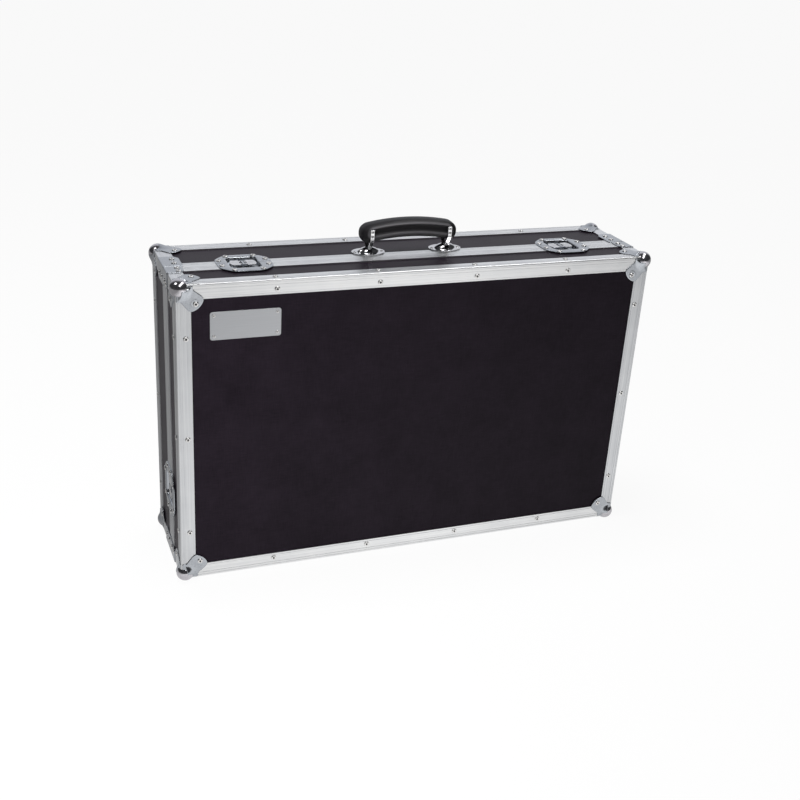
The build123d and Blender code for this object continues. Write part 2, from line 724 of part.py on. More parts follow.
# Rotor: a shaft in the pan's floor, the cam that drives the hook, and the yoke for the wings
with BuildPart() as rotor:
    with BuildSketch(Plane((0, SPINDLE_Y, SHAFT_END))):
        Circle(SHAFT_RADIUS)
    extrude(amount=PAD_TOP - SHAFT_END)
    with BuildSketch(Plane((0, SPINDLE_Y, PAD_TOP))):
        Circle(NECK_RADIUS)
        with Locations((0, CAM_THROW)):
            Circle(CAM_RADIUS)
    extrude(amount=DISC_LEVELS[0] - PAD_TOP)
    with BuildSketch(Plane((0, SPINDLE_Y, DISC_LEVELS[0]))):
        Circle(DISC_RADIUS)
    extrude(amount=DISC_LEVELS[1] - DISC_LEVELS[0])
    with BuildSketch(Plane((0, SPINDLE_Y, DISC_LEVELS[1]))):
        Rectangle(2 * YOKE_SPINE_HALF, 2 * YOKE_BARS[1])
        for end in (-1, 1):
            strip(-YOKE_BAR_HALF, YOKE_BAR_HALF, end * YOKE_BARS[0], end * YOKE_BARS[1])
    extrude(amount=WING_LEVEL + WING_THICK / 2 - DISC_LEVELS[1])
    for side in (-1, 1):
        with Locations(Location((side * WING_PIVOT, SPINDLE_Y, WING_LEVEL), (90, 0, 0))):
            Cylinder(WING_PIN_RADIUS, 2 * YOKE_BARS[1])

# Hook: a slotted plate round the cam, with a flat nose that reaches over the keeper
with BuildPart() as hook:
    with BuildSketch(Plane((0, SPINDLE_Y, HOOK_LEVELS[0]))) as plate:
        window_low = CAM_THROW - CAM_RADIUS - HOOK_SLACK
        window_high = CAM_THROW + CAM_RADIUS + HOOK_SLACK
        strip(-HOOK_HALF, HOOK_HALF, window_low - HOOK_RAIL, window_high + HOOK_RAIL)
        strip(-HOOK_NOSE_HALF, HOOK_NOSE_HALF, -SPINDLE_BEHIND - HOOK_NOSE, 0)
        fillet(plate.vertices().group_by(Axis.Y)[0], HOOK_NOSE_ROUND)
        strip(HOOK_RAIL - HOOK_HALF, HOOK_HALF - HOOK_RAIL, window_low, window_high, Mode.SUBTRACT)
    extrude(amount=HOOK_LEVELS[1] - HOOK_LEVELS[0])

# Wing: a half-moon thumb leaf with a shallow dish, hinged on the yoke by two ears
with BuildPart() as wing:
    low = WING_LEVEL - WING_THICK / 2
    with BuildSketch(Plane((0, SPINDLE_Y, low))) as leaf:
        Circle(WING_REACH)
        strip(-WING_REACH, WING_ROOT, -WING_REACH, WING_REACH, Mode.SUBTRACT)
        for end in (-1, 1):
            strip(0, WING_REACH, end * WING_HALF, end * WING_REACH, Mode.SUBTRACT)
        for end in (-1, 1):
            strip(WING_PIVOT, WING_ROOT, end * WING_EAR, end * WING_ROOT_HALF)
    extrude(amount=WING_THICK)
    for end in (-1, 1):
        ear = (WING_PIVOT, SPINDLE_Y + end * (WING_EAR + WING_ROOT_HALF) / 2, WING_LEVEL)
        with Locations(Location(ear, (90, 0, 0))):
            Cylinder(WING_THICK / 2, WING_ROOT_HALF - WING_EAR)
            Cylinder(WING_PIN_RADIUS + RUNNING_GAP, WING_ROOT_HALF - WING_EAR, mode=Mode.SUBTRACT)
    with Locations((THUMB_DISH_OUT, SPINDLE_Y, low + WING_THICK - THUMB_DISH_DEEP + THUMB_DISH_SPHERE)):
        Sphere(THUMB_DISH_SPHERE, mode=Mode.SUBTRACT)

with BuildPart() as other_wing:
    mirror(wing.part, about=Plane.YZ)

LATCH_PIECES = {
    "keeper": keeper_half,
    "dish": works_half,
    "rotor": rotor,
    "hook": hook,
    "wing_a": wing,
    "wing_b": other_wing,
}
for latch, (side, along) in LATCHES.items():
    for kind, piece in LATCH_PIECES.items():
        with BuildPart() as placed:
            with Locations(SIDES[side] * Location((along, 0, 0))):
                add(piece.part)
        finish(placed, f"{latch}_latch_{kind}")
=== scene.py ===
# %% [markdown]
# A flight case is a box of black laminated plywood in a skeleton of grooved aluminium. Everything that
# must fit or move was settled in the measured model, which is loaded here as a fixed frame. This
# lesson dresses that frame: finishes for the flat stock, and new meshes for what is pressed, cast
# or padded.

# %% Load the frame
import json
import math

import bmesh
import bpy
import mathutils
import numpy as np
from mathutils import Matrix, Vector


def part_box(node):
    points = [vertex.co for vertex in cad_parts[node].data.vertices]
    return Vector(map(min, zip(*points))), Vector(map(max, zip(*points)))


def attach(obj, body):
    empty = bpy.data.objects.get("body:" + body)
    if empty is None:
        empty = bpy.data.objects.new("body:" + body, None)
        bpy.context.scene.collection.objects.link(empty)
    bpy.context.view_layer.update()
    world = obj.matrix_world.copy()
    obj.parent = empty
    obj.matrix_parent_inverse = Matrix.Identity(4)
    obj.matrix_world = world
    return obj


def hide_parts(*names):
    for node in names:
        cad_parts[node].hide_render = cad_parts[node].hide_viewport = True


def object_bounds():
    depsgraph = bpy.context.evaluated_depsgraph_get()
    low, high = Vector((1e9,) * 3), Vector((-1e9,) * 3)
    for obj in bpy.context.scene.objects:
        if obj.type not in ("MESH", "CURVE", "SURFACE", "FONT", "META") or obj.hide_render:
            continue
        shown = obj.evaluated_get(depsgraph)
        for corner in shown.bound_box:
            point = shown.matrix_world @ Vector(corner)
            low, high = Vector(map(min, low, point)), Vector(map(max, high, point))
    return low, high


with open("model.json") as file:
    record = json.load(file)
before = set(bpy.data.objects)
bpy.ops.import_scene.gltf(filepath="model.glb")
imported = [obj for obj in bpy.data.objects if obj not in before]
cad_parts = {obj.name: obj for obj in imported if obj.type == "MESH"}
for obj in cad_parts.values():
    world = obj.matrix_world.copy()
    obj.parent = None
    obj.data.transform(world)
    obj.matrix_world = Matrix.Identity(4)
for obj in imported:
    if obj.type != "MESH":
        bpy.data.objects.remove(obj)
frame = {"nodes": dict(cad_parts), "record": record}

import openvdb
from mathutils import Matrix, Vector

MM = 0.001
cad_low, cad_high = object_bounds()
print("frame box", [round(v, 4) for v in cad_low], [round(v, 4) for v in cad_high])

# %% [markdown]
# Photographs of products are shot in a white sweep: a pale floor that runs up behind the object, with
# soft boxes round the camera. The camera goes first, because everything is judged through it. Its
# place and tilt were solved from the straight edges of the case.

# %% Camera
scene = bpy.context.scene
scene.view_settings.view_transform = "Standard"

CAMERA_PLACE = Vector((-0.6132, -1.5103, 0.9590))
CAMERA_FORWARD = Vector((0.34383, 0.84382, -0.41201))
CAMERA_UP = Vector((0.09581, 0.40494, 0.90931))
CAMERA_LENS = 50.72
CAMERA_FILM = 36.0

camera_data = bpy.data.cameras.new("camera")
camera_data.lens = CAMERA_LENS
camera_data.sensor_width = CAMERA_FILM
camera = bpy.data.objects.new("camera", camera_data)
scene.collection.objects.link(camera)
right = CAMERA_FORWARD.cross(CAMERA_UP).normalized()
up = right.cross(CAMERA_FORWARD).normalized()
turn = Matrix((right, up, -CAMERA_FORWARD.normalized())).transposed()
camera.matrix_world = Matrix.Translation(CAMERA_PLACE) @ turn.to_4x4()
scene.camera = camera
print("camera", [round(v, 3) for v in camera.location], "lens", camera_data.lens)

# %% [markdown]
# Node trees are all built the same way, for a material, for the world and for Geometry Nodes. They
# could be drawn by hand and kept in a file, but a tree that is written down can be read and changed.
# One helper adds a node, sets its options and fills its sockets, from a plain value or from another
# node's output.

# %% A helper for node trees


def add_node(tree, kind, inputs=None, **options):
    """Adds a node. A socket is filled from a value, or linked when it is given an output."""
    made = tree.nodes.new(kind)
    for option, value in options.items():
        setattr(made, option, value)
    for socket, value in (inputs or {}).items():
        if isinstance(value, bpy.types.NodeSocket):
            tree.links.new(value, made.inputs[socket])
        else:
            made.inputs[socket].default_value = value
    return made


def calculate(tree, operation, *values):
    """A maths node of any tree, and its one output."""
    return add_node(tree, "ShaderNodeMath", dict(enumerate(values)), operation=operation).outputs[0]


# %% [markdown]
# The background must look white to the camera, while the metal needs something darker to mirror, and
# one brightness can't be both. Light Path tells the rays apart, so that the floor and the room can
# answer each kind of ray in its own way. A soft step keeps hard borders out of the reflections.

# %% Helpers for light


def kinds_of_ray(tree):
    """Whether a ray comes straight from the camera, and whether it comes from metal or glass."""
    ray = add_node(tree, "ShaderNodeLightPath").outputs
    polished = calculate(tree, "MAXIMUM", ray["Is Glossy Ray"], ray["Is Transmission Ray"])
    return ray["Is Camera Ray"], polished


def fading(tree, value, dim, bright, low=0.0, high=1.0):
    """A soft step of a value, from a low to a high result."""
    made = add_node(
        tree,
        "ShaderNodeMapRange",
        {"Value": value, "From Min": dim, "From Max": bright, "To Min": low, "To Max": high},
        interpolation_type="SMOOTHSTEP",
    )
    return made.outputs["Result"]


# %% [markdown]
# The floor must look white and still carry a soft shadow. Brighter lamps would bleach the case too,
# so the floor is part paint and part glow. The front of the case mirrors the floor before it. For
# that ray the floor is brightest along one beam, and falls off to both sides and behind.

# %% Paint of the floor
FLOOR_PAINT = 0.80
GLOW_SHARE = 0.90
GLOW_BRIGHT = 1.04
POOL_BRIGHT = 0.98
POOL_DIM = 0.36
POOL_LEFT = (-0.95, -0.25)
POOL_RIGHT = (1.90, 1.30)
POOL_BACK = (0.12, -0.25)
BEAM_ACROSS = (0.92, 0.39, 0.0)
BEAM_MIDDLE = -0.10
BEAM_HALF = 0.75
BEAM_EDGE = 0.72
BEAM_GAIN = 1.47

floor_paint = bpy.data.materials.new("floor_paint")
floor_paint.use_nodes = True
tree = floor_paint.node_tree
tree.nodes.clear()
to_camera, polished = kinds_of_ray(tree)
place = add_node(tree, "ShaderNodeTexCoord").outputs["Object"]
parts = add_node(tree, "ShaderNodeSeparateXYZ", {0: place})
from_left = fading(tree, parts.outputs["X"], *POOL_LEFT)
from_right = fading(tree, parts.outputs["X"], *POOL_RIGHT)
from_back = fading(tree, parts.outputs["Y"], *POOL_BACK)
across = add_node(tree, "ShaderNodeVectorMath", {0: place, 1: BEAM_ACROSS}, operation="DOT_PRODUCT")
aside = calculate(tree, "ABSOLUTE", calculate(tree, "SUBTRACT", across.outputs["Value"], BEAM_MIDDLE))
beam = fading(tree, aside, BEAM_HALF, 0.0, BEAM_EDGE, BEAM_GAIN)
sides = calculate(tree, "MULTIPLY", from_left, from_right)
pool = calculate(tree, "MULTIPLY", calculate(tree, "MULTIPLY", sides, from_back), beam)
pool = calculate(tree, "MULTIPLY_ADD", pool, POOL_BRIGHT - POOL_DIM, POOL_DIM)
white = (1, 1, 1, 1)
paint = add_node(tree, "ShaderNodeBsdfDiffuse", {"Color": (FLOOR_PAINT, FLOOR_PAINT, FLOOR_PAINT, 1)})
glow = add_node(tree, "ShaderNodeEmission", {"Color": white, "Strength": GLOW_BRIGHT})
mirrored = add_node(tree, "ShaderNodeEmission", {"Color": white, "Strength": pool})
seen_share = calculate(tree, "MULTIPLY", to_camera, GLOW_SHARE)
seen = add_node(tree, "ShaderNodeMixShader", {0: seen_share, 1: paint.outputs[0], 2: glow.outputs[0]})
whole = add_node(tree, "ShaderNodeMixShader", {0: polished, 1: seen.outputs[0], 2: mirrored.outputs[0]})
add_node(tree, "ShaderNodeOutputMaterial", {"Surface": whole.outputs[0]})
print("floor paint of", len(tree.nodes), "nodes")

# %% [markdown]
# The floor itself is one square, so wide that its edge lies far behind the case. It belongs to the
# picture and not to the case, and staging it says so.

# %% Floor
FLOOR_HALF = 12.0

floor_mesh = bpy.data.meshes.new("floor")
quarters = ((-1, -1), (1, -1), (1, 1), (-1, 1))
floor_mesh.from_pydata([(x * FLOOR_HALF, y * FLOOR_HALF, 0) for x, y in quarters], [], [(0, 1, 2, 3)])
floor_mesh.materials.append(floor_paint)
floor = bpy.data.objects.new("floor", floor_mesh)
scene.collection.objects.link(floor)
print("floor", 2 * FLOOR_HALF, "m wide")

# %% [markdown]
# The room above the floor is the world. A ring of real walls could stand round the case, but three
# answers for three kinds of ray are quicker and steadier. The camera sees white. Soft light from the
# room is even. Polished metal needs contrast to look like metal, so reflections see one pale wall,
# low behind the case, in a dark room. The top of the case mirrors that wall, and the balls stay dark
# above.

# %% World
ROOM_DIM = 0.05
WALL_BRIGHT = 0.77
WALL_COLOUR = (0.93, 0.95, 1.0, 1)
WALL_WAY = (0.28, 0.87, 0.41)
WALL_EDGE = (0.55, 0.92)
EVEN_LIGHT = 0.12
SEEN_BRIGHT = 1.0

world = bpy.data.worlds.new("sweep")
scene.world = world
world.use_nodes = True
tree = world.node_tree
tree.nodes.clear()
to_camera, polished = kinds_of_ray(tree)
direction = add_node(tree, "ShaderNodeTexCoord").outputs["Generated"]
along = add_node(tree, "ShaderNodeVectorMath", {0: direction, 1: WALL_WAY}, operation="DOT_PRODUCT")
wall = fading(tree, along.outputs["Value"], *WALL_EDGE, ROOM_DIM, WALL_BRIGHT)
mirrored = add_node(tree, "ShaderNodeBackground", {"Color": WALL_COLOUR, "Strength": wall})
even = add_node(tree, "ShaderNodeBackground", {"Color": white, "Strength": EVEN_LIGHT})
plain = add_node(tree, "ShaderNodeBackground", {"Color": white, "Strength": SEEN_BRIGHT})
lit = add_node(tree, "ShaderNodeMixShader", {0: polished, 1: even.outputs[0], 2: mirrored.outputs[0]})
seen = add_node(tree, "ShaderNodeMixShader", {0: to_camera, 1: lit.outputs[0], 2: plain.outputs[0]})
add_node(tree, "ShaderNodeOutputWorld", {"Surface": seen.outputs[0]})
print("world of", len(tree.nodes), "nodes")

# %% [markdown]
# Two highlights on each ball tell where the lamps stood. A mirror ball shows a lamp half way between
# the eye and the lamp, so one lamp hangs high on the left, and a long strip runs overhead from the front
# to the right. Those two are mild and show in metal alone. The boards are lit by two others, one over the
# case and one close on the left, because the front board darkens to the right. Each lamp has a place, a
# size, a long way and a power, and says whether it lights paint or metal.

# %% Soft boxes
SOFT_BOXES = {
    "over_light": ((-0.25, 0.15, 2.30), (0.80, 0.80), (1.0, 0.0, 0.0), 28.0, True),
    "left_light": ((-0.95, -0.75, 0.50), (0.50, 0.50), (0.0, 0.0, 1.0), 7.5, True),
    "key_mirror": ((-1.32, -0.17, 2.16), (0.60, 0.60), (0.50, -0.80, 0.0), 6.0, False),
    "strip_mirror": ((0.48, -0.71, 2.16), (3.00, 0.46), (0.55, 0.83, 0.0), 24.0, False),
}
target = (cad_low + cad_high) / 2
for name, (spot, (long, wide), long_way, watts, lights_paint) in SOFT_BOXES.items():
    box = bpy.data.lights.new(name, "AREA")
    box.shape = "RECTANGLE"
    box.energy = watts
    box.size, box.size_y = long, wide
    lamp = bpy.data.objects.new(name, box)
    back = (Vector(spot) - target).normalized()
    over = back.cross(Vector(long_way)).normalized()
    turn = Matrix((over.cross(back), over, back)).transposed()
    lamp.matrix_world = Matrix.Translation(spot) @ turn.to_4x4()
    lamp.visible_diffuse = lights_paint
    lamp.visible_glossy = not lights_paint
    lamp.visible_camera = False
    scene.collection.objects.link(lamp)
print("soft boxes", list(SOFT_BOXES))

# %% [markdown]
# A finish could be a photographed texture, but nothing on this case needs one. Every finish starts
# from the same few steps: a pattern on Object coordinates, a colour between two tones, a roughness
# between two values and a little relief. Object coordinates are metres on the real case, so a
# pattern's scale is simply how many times it repeats in a metre.

# %% Helpers for finishes
# The Mix node repeats its socket names for each kind of data, so they are taken by number.
COLOUR_MIX = {"share": 0, "from": 6, "to": 7, "result": 2}


def new_finish(name, metallic=0.0, **fixed):
    """A material, its tree, its shader and the Object coordinates."""
    made = bpy.data.materials.new(name)
    made.use_nodes = True
    shader = made.node_tree.nodes["Principled BSDF"]
    shader.inputs["Metallic"].default_value = metallic
    for socket, value in fixed.items():
        shader.inputs[socket.replace("_", " ")].default_value = value
    place = add_node(made.node_tree, "ShaderNodeTexCoord").outputs["Object"]
    return made, made.node_tree, shader, place


def tones(tree, shader, pattern, dark, light, reach=(0.0, 1.0)):
    """The base colour, between two tones over the reach of a pattern."""
    ramp = add_node(tree, "ShaderNodeValToRGB", {"Fac": pattern})
    for element, colour, position in zip(ramp.color_ramp.elements, (dark, light), reach):
        element.color = (*colour, 1)
        element.position = position
    tree.links.new(ramp.outputs["Color"], shader.inputs["Base Color"])
    return ramp


def gloss(tree, shader, pattern, smooth, rough):
    """The roughness, between two values by a pattern."""
    span = add_node(tree, "ShaderNodeMapRange", {"Value": pattern, "To Min": smooth, "To Max": rough})
    tree.links.new(span.outputs["Result"], shader.inputs["Roughness"])


def toned_by(tree, shader, ramp, mark, colour):
    """Turns the base colour towards another where a mesh carries a mark, an attribute from 0 to 1."""
    marked = add_node(tree, "ShaderNodeAttribute", attribute_name=mark)
    sockets = {
        COLOUR_MIX["share"]: marked.outputs["Fac"],
        COLOUR_MIX["from"]: ramp.outputs[0],
        COLOUR_MIX["to"]: (*colour, 1),
    }
    mixed = add_node(tree, "ShaderNodeMix", sockets, data_type="RGBA")
    tree.links.new(mixed.outputs[COLOUR_MIX["result"]], shader.inputs["Base Color"])


def relief(tree, shader, pattern, height, strength):
    """Fine relief too small to model, of a height in metres."""
    bump = add_node(tree, "ShaderNodeBump", {"Height": pattern, "Distance": height, "Strength": strength})
    tree.links.new(bump.outputs["Normal"], shader.inputs["Normal"])


# %% [markdown]
# The patterns behind the finishes are few: a soft noise, rounded cells, either of them drawn out along
# an axis, and two of them added up. A picture would have one sharpness, but these are worked out
# wherever they are seen, and they need no unwrapping.

# %% Patterns


def stretched(tree, place, scale):
    """Coordinates squeezed or stretched along each axis."""
    return add_node(tree, "ShaderNodeMapping", {"Vector": place, "Scale": scale}).outputs[0]


def noise(tree, place, scale, detail, rough=0.55):
    """A soft random pattern from 0 to 1."""
    sockets = {"Vector": place, "Scale": scale, "Detail": detail, "Roughness": rough}
    return add_node(tree, "ShaderNodeTexNoise", sockets).outputs[0]


def cells(tree, place, scale, feature="SMOOTH_F1"):
    """Rounded cells side by side: the distance from the middle of the nearest one."""
    made = add_node(tree, "ShaderNodeTexVoronoi", {"Vector": place, "Scale": scale}, feature=feature)
    return made.outputs["Distance"]


def added(tree, first, share, second, other_share):
    """Two patterns added up, each by its share."""
    return calculate(tree, "MULTIPLY_ADD", first, share, calculate(tree, "MULTIPLY", second, other_share))


# %% [markdown]
# The boards are faced with a black film that is pressed on under heat, which leaves a faint linen
# print. A wave pattern would be too even for it. Two long, thin noises crossed over each other give
# the threads, a broad one gives the clouds, and a low index of refraction keeps the film from
# turning grey under the lights.

# %% Laminate
THREADS = 1400.0
THREAD_RUN = 60.0

laminate, tree, shader, place = new_finish("black_laminate", IOR=1.17)
clouds = noise(tree, place, scale=18.0, detail=5.0, rough=0.6)
level = noise(tree, stretched(tree, place, (THREAD_RUN, THREADS, THREADS)), scale=1.0, detail=1.0)
upright = noise(tree, stretched(tree, place, (THREADS, THREADS, THREAD_RUN)), scale=1.0, detail=1.0)
linen = calculate(tree, "ADD", level, upright)
mottle = added(tree, linen, 0.30, clouds, 0.45)
tones(tree, shader, mottle, dark=(0.0100, 0.0063, 0.0110), light=(0.0210, 0.0147, 0.0228), reach=(0.38, 0.66))
gloss(tree, shader, clouds, smooth=0.30, rough=0.44)
relief(tree, shader, linen, height=0.00006, strength=0.5)
print("laminate of", len(tree.nodes), "nodes")

# %% [markdown]
# The aluminium is extruded, so its marks all run along the bar. The anisotropic setting of the shader
# would need tangents on every bar. Instead one function makes the finish for bars along any axis: a
# noise that is long on that axis and fine across it drives the tone, the roughness and the relief.
# Bars of each direction have their own two tones, and these are painted light and shade: bars along X
# are lightest and bars along Z darkest, after how the faces that carry them are lit.

# %% Aluminium
STREAKS = 560.0
STREAK_RUN = 6.0


def extruded_aluminium(axis, dark, light):
    """Mill-finish aluminium whose drawing marks run along an axis."""
    made, tree, shader, place = new_finish(f"aluminium_along_{'xyz'[axis]}", metallic=1.0)
    scale = [STREAKS] * 3
    scale[axis] = STREAK_RUN
    streaks = noise(tree, stretched(tree, place, scale), scale=1.0, detail=2.0)
    haze = noise(tree, place, scale=25.0, detail=2.0)
    drawn = added(tree, streaks, 0.7, haze, 0.3)
    tones(tree, shader, drawn, dark, light, reach=(0.3, 0.7))
    gloss(tree, shader, drawn, smooth=0.28, rough=0.48)
    relief(tree, shader, streaks, height=0.00004, strength=0.6)
    return made


# Painted light and shade: one aluminium in three tones, lightest along X and darkest along Z.
ALUMINIUM_SHADED_BY_WAY = {
    "long": extruded_aluminium(0, dark=(0.72, 0.73, 0.74), light=(0.93, 0.93, 0.93)),
    "short": extruded_aluminium(2, dark=(0.55, 0.56, 0.58), light=(0.76, 0.77, 0.78)),
    "depth": extruded_aluminium(1, dark=(0.66, 0.67, 0.69), light=(0.88, 0.89, 0.90)),
}
print("aluminium", [made.name for made in ALUMINIUM_SHADED_BY_WAY.values()])

# %% [markdown]
# The pressed steel is zinc plated: bluish, satin, with faint crystals, which rounded cells and a
# noise give together. The handle's metal and the latch wings are chromed, and chrome is only ever
# broken by smudges, so a noise alone does for it. The balls are bright steel, a little duller. The
# rivets are nickel plated, and where the mesh carries a mark for the hole, a dark colour is painted
# in as the shade inside the hole.

# %% Plated steel
zinc, tree, shader, place = new_finish("zinc_plate", metallic=1.0)
crystals = added(tree, cells(tree, place, scale=420.0), 0.4, noise(tree, place, scale=60.0, detail=4.0), 0.7)
tones(tree, shader, crystals, dark=(0.31, 0.33, 0.36), light=(0.57, 0.59, 0.62))
gloss(tree, shader, crystals, smooth=0.13, rough=0.28)
relief(tree, shader, crystals, height=0.00003, strength=0.4)


def smudged_metal(name, scale, dark, light, **span):
    """Bright plating that is broken only by smudges."""
    made, tree, shader, place = new_finish(name, metallic=1.0)
    smudges = noise(tree, place, scale, detail=4.0)
    tones(tree, shader, smudges, dark, light, reach=(0.3, 0.7))
    gloss(tree, shader, smudges, **span)
    return made


chrome = smudged_metal("chrome_plate", 90.0, (0.62, 0.62, 0.64), (0.78, 0.78, 0.79), smooth=0.05, rough=0.15)
ball_steel = smudged_metal(
    "ball_steel", 140.0, (0.52, 0.50, 0.53), (0.66, 0.65, 0.68), smooth=0.13, rough=0.22
)

# Painted shade: the dark colour that stands in for the shade inside each rivet's hole.
HOLE_PAINTED_SHADE = (0.05, 0.05, 0.05)

nickel, tree, shader, place = new_finish("nickel_plate", metallic=1.0)
smudges = noise(tree, place, scale=300.0, detail=3.0)
ramp = tones(tree, shader, smudges, dark=(0.74, 0.73, 0.72), light=(0.92, 0.91, 0.90))
toned_by(tree, shader, ramp, "hole", HOLE_PAINTED_SHADE)
gloss(tree, shader, smudges, smooth=0.24, rough=0.36)
print("plated steel", [made.name for made in (zinc, chrome, ball_steel, nickel)])

# %% [markdown]
# The nameplate is satin metal, brushed along its length. It is one flat piece, so a noise that is
# stretched along X is enough, and its softer gloss sets it off from the extrusions.

# %% Nameplate finish
BRUSHING = (20.0, 2600.0, 2600.0)

satin, tree, shader, place = new_finish("satin_plate", metallic=1.0)
brushed = noise(tree, stretched(tree, place, BRUSHING), scale=1.0, detail=2.0)
tones(tree, shader, brushed, dark=(0.42, 0.43, 0.45), light=(0.58, 0.59, 0.61))
gloss(tree, shader, brushed, smooth=0.36, rough=0.52)
relief(tree, shader, brushed, height=0.00003, strength=0.5)
print("nameplate finish of", len(tree.nodes), "nodes")

# %% [markdown]
# The grip is covered in a black leather-look skin. Leather grain is small rounded pebbles with creases
# between them. Noise alone has no creases, so the pebbles are rounded cells, turned upside down. The
# foam inside the case is open: it has sharper cells, and hardly any gloss.

# %% Leather and foam
# A painted highlight: a light tone laid along the welts' cords, where they would catch the light.
WELT_PAINTED_HIGHLIGHT = (0.135, 0.130, 0.140)

leather, tree, shader, place = new_finish("grip_leather", IOR=1.38)
bloom = noise(tree, place, scale=120.0, detail=4.0)
grain = added(tree, cells(tree, place, scale=900.0), -0.8, bloom, 0.3)
ramp = tones(tree, shader, bloom, dark=(0.0045, 0.0040, 0.0050), light=(0.0125, 0.0110, 0.0135))
toned_by(tree, shader, ramp, "welt", WELT_PAINTED_HIGHLIGHT)
gloss(tree, shader, bloom, smooth=0.40, rough=0.55)
relief(tree, shader, grain, height=0.00018, strength=0.8)

foam, tree, shader, place = new_finish("grey_foam", IOR=1.3)
pores = cells(tree, place, scale=700.0, feature="F1")
tones(tree, shader, pores, dark=(0.030, 0.030, 0.033), light=(0.075, 0.075, 0.080))
gloss(tree, shader, noise(tree, place, scale=40.0, detail=5.0), smooth=0.82, rough=0.96)
relief(tree, shader, pores, height=0.0004, strength=0.7)
print("soft finishes", [made.name for made in (leather, foam)])

# %% [markdown]
# The record of the frame says which kind of stuff each node is made of. A table from stuff to finish
# dresses them all at once, also those that are replaced further on. Only the aluminium asks which way
# its bar runs, and the last word of the node's name tells that.

# %% Give every node of the frame its finish
FINISH_OF_SLOT = {
    "laminate": laminate,
    "zinc_steel": zinc,
    "rivets": nickel,
    "chrome": chrome,
    "grip": leather,
    "nameplate": satin,
    "foam": foam,
}
for part in frame["record"]["subparts"]:
    name, slot = part["node"], part["material_slot"]
    if slot == "aluminium":
        kind = name.rsplit("_", 1)[1]
        finish = ALUMINIUM_SHADED_BY_WAY["depth" if kind == "angles" else kind]
    else:
        finish = FINISH_OF_SLOT[slot]
    mesh = frame["nodes"][name].data
    mesh.materials.clear()
    mesh.materials.append(finish)
print("finishes set on", len(frame["nodes"]), "nodes")

# %% [markdown]
# From here on, pieces are made that the flat stock can't give. Numbers typed in would go stale with
# the frame, so their places are read from it: the outer planes of the aluminium, the joint line, and
# the middle of each latch.

# %% Places taken from the frame
edge_low, edge_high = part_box("lid_edge_angles_long")
LEFT, RIGHT = edge_low.x, edge_high.x
BOTTOM, TOP = edge_low.z, edge_high.z
FRONT = edge_low.y
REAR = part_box("base_edge_angles_long")[1].y
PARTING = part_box("lid_closing_frame_long")[1].y
print("case", [round((b - a) / MM, 1) for a, b in ((LEFT, RIGHT), (FRONT, REAR), (BOTTOM, TOP))], "mm")

# %% [markdown]
# Every new piece is put on the case in the same way. It gets its finish, it rides on the body that
# carries it, so that it moves with the joints, and the nodes of the frame that it stands for are
# hidden. One helper keeps these steps together, so that none is left out.

# %% Put a piece on the case


def add_piece(name, mesh, body, slot, finish, *replaced):
    """Puts a finished mesh on the case, riding on its body and standing for its nodes."""
    mesh.materials.clear()
    mesh.materials.append(finish)
    piece = bpy.data.objects.new(name, mesh)
    scene.collection.objects.link(piece)
    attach(piece, body)
    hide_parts(*replaced)
    return piece


def body_of_node(node):
    """The body that carries a node of the frame."""
    return next(body for body, nodes in frame["record"]["behaviour"]["bodies"].items() if node in nodes)


# %% [markdown]
# Rivets hold all of it together, a hundred and sixty of them. The frame has each one as a plain
# eight-sided button. A real blind rivet is a low dome with a small hole in the middle, where its nail
# broke off. One dome is enough, repeated by Geometry Nodes, because the frame already says where each
# rivet sits: every button is an island of triangles, and its largest flat side is its seat. Sets have
# no fixed order in Blender's meshes, so dictionaries are used in their place, and each run gives the
# same mesh.

# %% Find the seats of the rivets
MERGE = 0.002 * MM
NORMAL_DIGITS = 1


def merged_copy(node):
    """A node's triangles as one joined mesh, free to be changed."""
    shape = bmesh.new()
    shape.from_mesh(frame["nodes"][node].data)
    bmesh.ops.remove_doubles(shape, verts=shape.verts, dist=MERGE)
    return shape


def islands(shape):
    """The separate pieces of a mesh, as lists of faces."""
    left = dict.fromkeys(shape.faces)
    while left:
        wave = [next(iter(left))]
        island = []
        while wave:
            island += wave
            for face in wave:
                del left[face]
            near = (g for f in wave for e in f.edges for g in e.link_faces if g in left)
            wave = list(dict.fromkeys(near))
        yield island


def rivet_seats(node):
    """Middle, facing, and size of each rivet of a node."""
    shape = merged_copy(node)
    seats = []
    for island in islands(shape):
        flats = {}
        for face in island:
            flats.setdefault(tuple(round(v, NORMAL_DIGITS) for v in face.normal), []).append(face)
        seat = max(flats.values(), key=lambda faces: sum(face.calc_area() for face in faces))
        facing = -seat[0].normal
        rim = dict.fromkeys(corner for face in seat for corner in face.verts)
        middle = sum((corner.co for corner in rim), Vector()) / len(rim)
        radius = max((corner.co - middle).length for corner in rim)
        height = max((corner.co - middle).dot(facing) for face in island for corner in face.verts)
        seats.append((middle, facing, (radius, radius, height)))
    shape.free()
    return seats


# %% [markdown]
# The profile of a rivet head is a short list of rings, each by how far out and how high it lies, as
# shares of the rivet's own radius and height. It rises from the seat, rounds over and drops into the
# hole. A formula could draw the dome but not the hole, so a curve node reads the list.

# %% Profile of a rivet head
RIVET_RINGS = (
    (0.00, 0.00),
    (1.00, 0.00),
    (0.98, 0.42),
    (0.84, 0.84),
    (0.62, 1.00),
    (0.40, 0.96),
    (0.32, 0.35),
    (0.00, 0.30),
)
HOLE_FROM = 5.5


